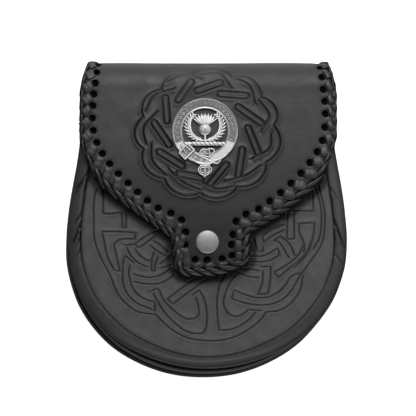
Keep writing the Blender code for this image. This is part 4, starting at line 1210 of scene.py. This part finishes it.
def metal(name, colour, rough, worn, dark):
    """Plated metal: fine specks in its roughness and bump, slow tarnish, dark patina in the hollows."""
    made = bpy.data.materials.new(name)
    made.use_nodes = True
    tree = made.node_tree
    shader = tree.nodes["Principled BSDF"]
    where = wire(tree, "ShaderNodeTexCoord")["Object"]
    cloud = wire(tree, "ShaderNodeTexNoise", {"Vector": where, "Scale": 260.0, "Detail": 4.0})["Fac"]
    speck = wire(tree, "ShaderNodeTexNoise", {"Vector": where, "Scale": 1800.0, "Detail": 2.0})["Fac"]
    hollow = wire(tree, "ShaderNodeAttribute", attribute_name="hollow")["Fac"]
    tarnish = wire(tree, "ShaderNodeMath", {0: cloud, 1: worn, 2: 1.0 - worn * 0.5},
                   operation="MULTIPLY_ADD")[0]
    bright = wire(tree, "ShaderNodeVectorMath", {0: colour, 3: tarnish}, operation="SCALE")[0]
    shade = wire(tree, "ShaderNodeMix", {"Factor": hollow, 6: bright, 7: (*dark, 1.0)},
                 data_type="RGBA")[2]
    tree.links.new(shade, shader.inputs["Base Color"])
    gloss = wire(tree, "ShaderNodeMath", {0: speck, 1: 0.12, 2: rough - 0.06}, operation="MULTIPLY_ADD")[0]
    dull = wire(tree, "ShaderNodeMath", {0: hollow, 1: 0.3, 2: gloss}, operation="MULTIPLY_ADD")[0]
    tree.links.new(dull, shader.inputs["Roughness"])
    bump = wire(tree, "ShaderNodeBump", {"Height": speck, "Strength": 1.0, "Distance": 0.01 * MM})["Normal"]
    tree.links.new(bump, shader.inputs["Normal"])
    shader.inputs["Metallic"].default_value = 1.0
    return made


NICKEL = metal("brushed_nickel", (0.34, 0.34, 0.33), 0.52, 0.3, (0.1, 0.1, 0.1))
SILVER = metal("cast_silver", (0.62, 0.63, 0.635), 0.42, 0.3, (0.18, 0.18, 0.185))


def turned(profile, sides):
    """A surface of revolution: rows of points round an axis, one row for each (radius, height)."""
    turns = angles(sides)
    r, z = np.asarray(profile, float).T
    points = np.stack((r[:, None] * np.cos(turns), r[:, None] * np.sin(turns),
                       np.repeat(z[:, None], sides, axis=1)), -1)
    return points.reshape(-1, 3), [grid_faces(len(r), sides, True), end_caps(len(r), sides)]


# %% Press stud
CAP_R = 7.5
CAP_PROFILE = (
    # radius, height: up the socket, out under the rim, round it and over the dome
    (0.15, -4.1), (5.2, -4.1), (5.6, -3.7), (5.6, -2.8), (2.0, -2.8), (2.0, 0.3), (6.9, 0.3), (7.3, 0.42),
    (CAP_R, 0.8), (7.46, 1.15), (7.25, 1.42), (6.8, 1.62), (6.2, 1.77), (5.5, 1.91), (4.7, 2.03),
    (3.8, 2.13), (2.6, 2.23), (1.3, 2.29), (0.15, 2.3))
cap_points, cap_faces = turned(CAP_PROFILE, 96)
add_piece("stud_cap", set_on(cap_points, seat(SNAP_X, SNAP_Y, FLAP_THICK)), cap_faces, [NICKEL],
          ["snap_cap"], sharp=70.0)
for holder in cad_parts["snap_stud"].material_slots:
    holder.material = NICKEL
print("stud cap:", 2 * CAP_R, "mm across")

# %% [markdown]
# ## The badge
# The badge is a small casting in the common form of a strap and buckle round a plant. It could be one
# carved height field, but most of it is bars, rims and leaves with the leather showing between, so it is
# built up from simple forms that overlap as they would in the wax: a turned ring with a raised ornament,
# round bars along drawn lines, flat floors behind them, and tapered strips for the thistle. Each point
# knows how deep it lies, and the metal is dark there, as old castings are.

# %% Parts of the casting
RING_OUTER, RING_INNER, RIM_W = 21.4, 14.8, 1.15
BADGE_MIDDLE = (205.0, 131.7)            # pixel at the middle of the ring
PIXEL = PICTURE_WIDTH / FRAME_PIXELS
BAR_SIDES, BAR_STEP = 10, 0.3
FLAT = 0.9                               # a bar's height, as a share of its width
UP = np.array((0.0, 0.0, 1.0))
WALL = 0.35                              # the upright wall's share of a dome's height
casting = []                             # (points, faces, depth of shadow) of every form


def cast(points, faces, hollow=0.0):
    """Add a form to the casting; hollow is 0 on bright metal and 1 in a dark recess."""
    casting.append((np.asarray(points), faces, np.broadcast_to(hollow, len(points))))


def on_badge(pixels):
    """Pixels of the photograph in the badge's own millimetres, from the middle of its ring."""
    return (np.asarray(pixels, float) - BADGE_MIDDLE) * (PIXEL, -PIXEL)


def bar(line, radius, z, taper=None):
    """A round bar along a line at a height, pointed by taper, a factor for each point."""
    line = np.asarray(line, float)
    line = np.column_stack((line, np.broadcast_to(z, len(line))))
    width = radius if taper is None else radius * np.asarray(taper)[None]
    cast(*strips(line[None], np.broadcast_to(UP, (1, *line.shape)), width, width * FLAT,
                 sides=BAR_SIDES, square=1.0))


def hoop(corners, radius, z):
    """A round bar along a closed line at a height."""
    line = even(closed(np.asarray(corners, float)), BAR_STEP)[:-1]
    line = np.column_stack((line, np.full(len(line), z)))
    across = unit(np.cross(np.roll(line, -1, axis=0) - np.roll(line, 1, axis=0), UP))
    turns = angles(BAR_SIDES)[:, None]
    points = line[:, None] + across[:, None] * radius * np.cos(turns) + UP * radius * FLAT * np.sin(turns)
    faces = grid_faces(len(line) + 1, BAR_SIDES, True) % (len(line) * BAR_SIDES)
    cast(points.reshape(-1, 3), [faces])


def dome(x, y, rx, ry, low, high, relief=None, hollow=None, rows=9, sides=24):
    """A rounded boss: half an ellipsoid on a low wall, closed underneath, with relief(dx, dy) on it."""
    lift = np.linspace(0.0, math.pi / 2 * 0.985, rows)
    turns = angles(sides)
    rise = high - low
    r = np.concatenate(([0.02, 1.0], np.cos(lift)))[:, None]
    z = np.concatenate(([low, low], low + WALL * rise + (1 - WALL) * rise * np.sin(lift)))[:, None]
    px, py = x + rx * r * np.cos(turns), y + ry * r * np.sin(turns)
    pz = z + 0 * px
    if relief is not None:
        pz = pz + relief(px - x, py - y) * (r < 1.0) * (z > low)
    dark = 0.0 if hollow is None else hollow(px - x, py - y).ravel()
    cast(np.stack((px, py, pz), -1).reshape(-1, 3),
         [grid_faces(len(r), sides, True), end_caps(len(r), sides)], dark)


def floor_plate(outline, high, hollow, low=0.2):
    """A flat floor between two heights, its outline turned counterclockwise first."""
    outline = np.asarray(outline, float)
    area = np.sum(outline[:, 0] * np.roll(outline[:, 1], -1) - np.roll(outline[:, 0], -1) * outline[:, 1])
    outline = outline if area > 0 else outline[::-1]
    flat, top, _ = triangulate([outline], np.zeros((0, 2)))
    count = len(flat)
    here = np.arange(count)
    ahead = np.roll(here, -1)
    walls = np.column_stack((here, ahead, ahead + count, here + count))
    points = np.vstack([np.column_stack((flat, np.full(count, level))) for level in (low, high)])
    cast(points, [top[:, ::-1], top + count, walls], hollow)


# %% Section of the strap ring
RING_TURNS = 900
STRAP_Z = 1.15                           # height of the strap between its two raised rims
INNER_RIM = (
    # past the ring's inner edge, height; the outer rim is the same, the other way round
    (0.0, 0.0), (0.0, 1.7), (0.15, 2.1), (0.45, 2.3), (0.75, 2.2), (0.95, 1.8))
rim_in, rim_out = RING_INNER + RIM_W, RING_OUTER - RIM_W
rim_reach, rim_z = np.array(INNER_RIM).T
strap_r = np.linspace(rim_in, rim_out, 26)
radius = np.concatenate((RING_INNER + rim_reach, strap_r, (RING_OUTER - rim_reach)[::-1]))
level = np.concatenate((rim_z, np.full(len(strap_r), STRAP_Z), rim_z[::-1]))
turns = angles(RING_TURNS)
middle_r = (RING_INNER + RING_OUTER) / 2
print("strap ring:", 2 * RING_OUTER, "mm across")

# %% Ornament of the strap ring
LOZENGE_PITCH, LOZENGE_WIDE, LOZENGE_HIGH = 3.3, 1.25, 1.45
ORNAMENT_FROM, ORNAMENT_TO = math.radians(-22), math.radians(203)
ORNAMENT_RISE = 0.75
DOT_OFF, DOT_R = 1.15, 0.42              # the two dots between lozenges, off the strap's middle
ORNAMENT_DARK, STRAP_DARK = 0.92, 0.35   # shadow round the ornament, and on the plain strap

arc = (turns * middle_r) % LOZENGE_PITCH - LOZENGE_PITCH / 2
off = radius - middle_r
spread = np.abs(arc)[None] / LOZENGE_WIDE + np.abs(off)[:, None] / LOZENGE_HIGH
lozenge = np.exp(-((spread - 0.82) / 0.24)**4) + bell(spread, 0.33)     # a raised frame with a boss in it
side_arc = LOZENGE_PITCH / 2 - np.abs(arc)
dots = sum(bell(np.hypot(side_arc[None], (off - dot)[:, None]), DOT_R) for dot in (-DOT_OFF, DOT_OFF))
ornamented = ((turns - ORNAMENT_FROM) % (2 * math.pi) < ORNAMENT_TO - ORNAMENT_FROM) * 1.0
on_strap = ((radius > rim_in) & (radius < rim_out))[:, None]
raised = np.clip(lozenge + dots, 0, 1) * ornamented * on_strap
ring_dark = on_strap * (ornamented * (1 - raised) * ORNAMENT_DARK + (1 - ornamented) * STRAP_DARK)
ring_points = np.stack((radius[:, None] * np.cos(turns), radius[:, None] * np.sin(turns),
                        level[:, None] + ORNAMENT_RISE * raised), -1)
ring_faces = grid_faces(len(radius), RING_TURNS, True)
first = np.arange(RING_TURNS)
last = first + (len(radius) - 1) * RING_TURNS
underside = np.column_stack((first, last, np.roll(last, -1), np.roll(first, -1)))
cast(ring_points.reshape(-1, 3), [np.vstack((ring_faces, underside))[:, ::-1]], ring_dark.ravel())
print(int(2 * math.pi * middle_r / LOZENGE_PITCH), "lozenges would go right round the ring")

# %% Buckle, tail, keeper and pendant
BUCKLE = ((179.3, 154.2), (185.3, 160.4), (194.2, 151.2), (187.6, 144.7))
TAIL_TOP = ((194.6, 154.0), (204.0, 159.0), (212.6, 163.7))
TAIL_FOOT = ((190.0, 158.6), (196.5, 163.3), (203.8, 165.4), (209.2, 165.2), (212.6, 163.7))
KEEPER = ((199.6, 153.6), (201.4, 151.2), (203.8, 150.0), (206.5, 151.0), (209.2, 149.6), (209.4, 153.6),
          (209.7, 158.6), (206.0, 157.6), (201.2, 155.8))
PENDANT = ((200.9, 165.0), (200.4, 168.0), (198.4, 169.6), (198.5, 172.4), (200.4, 174.9), (203.0, 176.2),
           (204.8, 178.0), (206.6, 176.2), (209.5, 174.6), (211.5, 172.2), (211.7, 169.4), (209.5, 168.0),
           (209.2, 165.0))
FLOORS = (
    # outline, height, how dark
    (BUCKLE, 1.5, 0.8), (((190.5, 158.0), (192.0, 153.6), *TAIL_TOP, *TAIL_FOOT[:0:-1]), 1.9, 0.75),
    (KEEPER, 1.2, 0.85), (PENDANT, 0.9, 0.9))
HOOPS = ((BUCKLE, 0.62, 2.55), (KEEPER, 0.42, 1.9), (PENDANT, 0.42, 1.5))     # corners, radius, height
RODS = (
    # ends, radius, height: the buckle's bar and the pendant's cross
    (((186.2, 147.6), (190.8, 152.0)), 0.4, 2.2), (((200.6, 167.0), (209.4, 167.0)), 0.4, 1.9),
    (((204.9, 165.4), (204.8, 176.4)), 0.4, 1.9))
CURVES = (
    # points, radius, height: the tail's two edges, the strap's turns under it and the keeper's loop
    (TAIL_TOP, 0.5, 2.35), (TAIL_FOOT, 0.5, 2.3),
    (((213.4, 161.6), (217.0, 161.4), (221.2, 159.4)), 0.42, 2.3),
    (((213.6, 164.2), (217.6, 164.4), (221.0, 160.6)), 0.42, 2.1),
    (((210.2, 149.4), (214.2, 151.0), (213.0, 154.4), (210.2, 157.4)), 0.42, 1.9))
EYELETS = ((195.6, 158.6), (201.2, 161.2), (206.6, 163.2))
KNOT = (204.4, 153.9)                    # a boss in a ring, on the keeper
PENDANT_AXIS = 204.85
CURL = ((0.4, 168.6), (3.2, 168.9), (4.6, 171.2), (3.4, 173.6), (1.6, 174.2))     # off that axis, pixel down
PRONG = ((181.2, 145.4), (186.2, 155.6))
DOMES = (
    # middle, radius, low, high: the knot's boss, the pendant's middle and its drop
    (KNOT, 0.55, 1.0, 2.2), ((204.8, 171.2), 0.9, 0.8, 2.6), ((204.7, 177.4), 0.95, 0.3, 2.3))

for outline, high, hollow in FLOORS:
    floor_plate(on_badge(outline), high, hollow)
for corners, thick, z in HOOPS:
    hoop(on_badge(corners), thick, z)
for ends_of_rod, thick, z in RODS:
    bar(on_badge(ends_of_rod), thick, z)
for curve, thick, z in CURVES:
    bar(smooth_line(on_badge(curve), BAR_STEP), thick, z)
for eyelet in EYELETS:
    hoop(ring(on_badge(eyelet), 0.72, 12, way=1), 0.3, 2.15)
hoop(ring(on_badge(KNOT), 1.15, 16, way=1), 0.34, 1.8)
for side in (-1, 1):
    bar(smooth_line(on_badge([(PENDANT_AXIS + side * off, down) for off, down in CURL]), 0.25), 0.34, 1.7)
prong = even(on_badge(PRONG), BAR_STEP)
bar(prong, 0.5, 2.9, np.linspace(1.1, 0.55, len(prong)))
for middle, size, low, high in DOMES:
    dome(*on_badge(middle), size, size, low, high)
print(len(casting), "forms in the casting so far")

# %% Twisted bar
TWIST = 1.15                             # how fast the strands turn, in radians to the mm
ROPE_R, ROPE_HALF, ROPE_Y, ROPE_Z = 1.25, 12.9, -8.4, 1.4
ROPE_STEPS, ROPE_SIDES = 150, 24
length = np.linspace(-ROPE_HALF, ROPE_HALF, ROPE_STEPS)[:, None]
turns = angles(ROPE_SIDES)
lobes = 0.5 + 0.5 * np.cos(2 * (turns - TWIST * length))      # 1 on a strand, 0 between two
rope_r = ROPE_R * (1 + 0.2 * np.sqrt(np.clip(lobes, 0, 1)) - 0.1)
rope = np.stack((length + 0 * rope_r, ROPE_Y + rope_r * np.cos(turns), ROPE_Z + rope_r * np.sin(turns)), -1)
cast(rope.reshape(-1, 3), [grid_faces(ROPE_STEPS, ROPE_SIDES, True)[:, ::-1],
                           end_caps(ROPE_STEPS, ROPE_SIDES)[:, ::-1]],
     np.clip(0.7 - 1.2 * lobes, 0, 1).ravel())

# %% Thistle
PETAL_ROWS = ((9, 47, 7.6, 1.6), (8, 38, 6.4, 2.3))   # count, spread in degrees, length, height of each row
LEAF_R = 0.62


def scales(dx, dy):
    """Crossed slanting grooves of the thistle's bulb, in mm of relief."""
    return -0.22 * sum(bell(np.sin((dx + slant * dy) * 2.1), 0.3) for slant in (0.8, -0.8))


def leaf_taper(share, start, turn, least):
    """Thin at the base, wide in the middle and thin at the tip: a sine's arch, and a least width."""
    return np.sin(start + turn * share)**0.8 + least


bar([(0.0, -7.4), (0.0, -2.0)], 0.75, 1.6)
dome(0.0, 1.0, 4.1, 3.9, 0.3, 3.3, scales, lambda dx, dy: np.clip(-2.6 * scales(dx, dy), 0, 1),
     rows=18, sides=60)
share = np.linspace(0.0, 1.0, 10)
for count, spread_deg, petal_length, z in PETAL_ROWS:
    for angle in np.radians(np.linspace(-spread_deg, spread_deg, count)):
        start = np.array((2.9 * math.sin(angle), 3.3 + 0.9 * math.cos(angle)))
        heading_out = petal_length * np.array((math.sin(angle * 1.1), math.cos(angle * 1.1)))
        bar(start + heading_out * share[:, None], LEAF_R, z - 0.5 * share, leaf_taper(share, 0.5, 2.5, 0.06))

# %% Two leafy sprays
RIB = ((0.4, -6.4), (4.6, -5.6), (8.8, -2.6), (10.9, 2.2), (10.4, 7.2), (7.4, 11.2))
LEAF_LENGTH, LEAF_EVERY = 3.5, 5         # the longest leaf, and the steps along the rib from one to the next
share = np.linspace(0.0, 1.0, 9)
for side in (-1, 1):
    rib = smooth_line(np.array(RIB) * (side, 1), 0.4)
    bar(rib, 0.55, 1.7, np.linspace(1.1, 0.4, len(rib)))
    along, normal = unit(np.gradient(rib, axis=0)), left_of(rib)
    for k in range(4, len(rib) - 3, LEAF_EVERY):
        size = LEAF_LENGTH * (1.0 - 0.35 * abs(2 * k / len(rib) - 1.0))
        for out in (1, -1):
            lean_out = along[k] * 0.85 + normal[k] * out * 0.75
            leaf = rib[k] + lean_out * size * share[:, None] + along[k] * (0.5 * share**2)[:, None]
            kept = np.hypot(*leaf.T) < RING_INNER + 0.2       # what would cross the ring is cut off
            if kept.sum() > 3:
                bar(leaf[kept], LEAF_R, 1.5 - 0.25 * share[kept], leaf_taper(share[kept], 0.35, 2.7, 0.05))

# %% Posts, and the whole casting
POST_R, POST_TOP, NUT_R, NUT_THICK = 1.0, 0.7, 2.8, 1.0
nut_top = -CLEARANCE - FLAP_THICK - CLEARANCE
post_points, post_faces = turned((
    (0.1, nut_top - NUT_THICK), (NUT_R, nut_top - NUT_THICK), (NUT_R, nut_top), (POST_R, nut_top),
    (POST_R, POST_TOP), (0.1, POST_TOP)), 24)
for side in (-1, 1):
    cast(post_points + (0.0, side * BADGE_POST_Y, 0.0), post_faces)
starts = np.cumsum([0] + [len(points) for points, _, _ in casting])
by_size = {}
for start, (_, faces, _) in zip(starts, casting):
    for group in faces:
        by_size.setdefault(group.shape[1], []).append(np.asarray(group) + start)
badge_points = set_on(np.vstack([points for points, _, _ in casting]),
                      seat(BADGE_X, BADGE_Y, FLAP_THICK + CLEARANCE))
hollows = np.concatenate([dark for _, _, dark in casting])
add_piece("badge_cast", badge_points, [np.vstack(group) for group in by_size.values()], [SILVER],
          ["badge"], [("hollow", hollows)], sharp=40.0)

# %% [markdown]
# ## Floor and light
# Black leather shows its form by its gloss alone, so the lights matter more than its colour does. One
# bright dome over it would light every groove from all sides and wash it out. Here two soft lights above
# and beyond the top throw the flap's shadow towards the foot and catch the upper lip of every pressed
# line. The others fill in: low ones for the fold, one from the right, and one that grazes in from the
# foot. The floor is plain white paper that glows by itself and sends no light up to the pouch.

# %% Floor, light and view
HEART = (0.0, 0.0, 0.03)                 # the middle of the pouch, in metres
LIGHTS = (
    # name, place, target, width and height in metres, watts
    ("key_above", (0.0, 0.45, 0.9), HEART, (0.5, 0.3), 3.3),
    ("key_behind", (0.0, 0.7, 0.75), HEART, (0.6, 0.3), 2.2),
    ("beyond_the_top", (0.0, 0.6, 0.35), (0.0, 0.05, 0.03), (0.8, 0.2), 1.1),
    ("low_at_the_top", (0.0, 0.4, 0.05), (0.0, 0.1, 0.03), (0.5, 0.05), 0.35),
    ("paper_at_the_fold", (0.0, 0.15, 0.003), (0.0, 0.103, 0.03), (0.17, 0.03), 0.026),
    ("from_the_right", (0.55, 0.1, 0.35), HEART, (0.4, 0.3), 0.9),
    ("from_the_foot", (0.0, -0.9, 0.35), HEART, (1.2, 0.3), 4.2))
SKY = 0.16                               # strength of the white light from all round
FLOOR_HALF, PAPER_GLOW = 4.0, 0.8
WHITE = (1.0, 1.0, 1.0, 1.0)


def area_light(name, place, target, size, power):
    """A soft light (width, height) at a place in metres, turned to a target."""
    data = bpy.data.lights.new(name, "AREA")
    data.shape, data.energy = "RECTANGLE", power
    data.size, data.size_y = size
    lamp = bpy.data.objects.new(name, data)
    aim = Vector(target) - Vector(place)
    lamp.matrix_world = Matrix.Translation(place) @ aim.to_track_quat("-Z", "Y").to_matrix().to_4x4()
    lamp.visible_camera = False
    bpy.context.scene.collection.objects.link(lamp)


floor_mesh = bpy.data.meshes.new("floor")
corners = [(x * FLOOR_HALF, y * FLOOR_HALF, 0.0) for x, y in ((-1, -1), (1, -1), (1, 1), (-1, 1))]
floor_mesh.from_pydata(corners, [], [(0, 1, 2, 3)])
floor = bpy.data.objects.new("floor", floor_mesh)
bpy.context.scene.collection.objects.link(floor)
floor.visible_diffuse = floor.visible_glossy = False    # a cut-out photograph has no white glow from below
paper = bpy.data.materials.new("paper")
paper.use_nodes = True
paper_shader = paper.node_tree.nodes["Principled BSDF"].inputs
paper_shader["Base Color"].default_value = (0.9, 0.9, 0.9, 1.0)
paper_shader["Roughness"].default_value = 0.9
paper_shader["Emission Color"].default_value = WHITE
paper_shader["Emission Strength"].default_value = PAPER_GLOW
floor_mesh.materials.append(paper)

world = bpy.data.worlds.new("studio")
world.use_nodes = True
world.node_tree.nodes["Background"].inputs["Color"].default_value = WHITE
world.node_tree.nodes["Background"].inputs["Strength"].default_value = SKY
bpy.context.scene.world = world
for light in LIGHTS:
    area_light(*light)
view = bpy.context.scene.view_settings
view.view_transform, view.look, view.exposure, view.gamma = "Standard", "None", 0.0, 1.0
print(len(LIGHTS), "lights")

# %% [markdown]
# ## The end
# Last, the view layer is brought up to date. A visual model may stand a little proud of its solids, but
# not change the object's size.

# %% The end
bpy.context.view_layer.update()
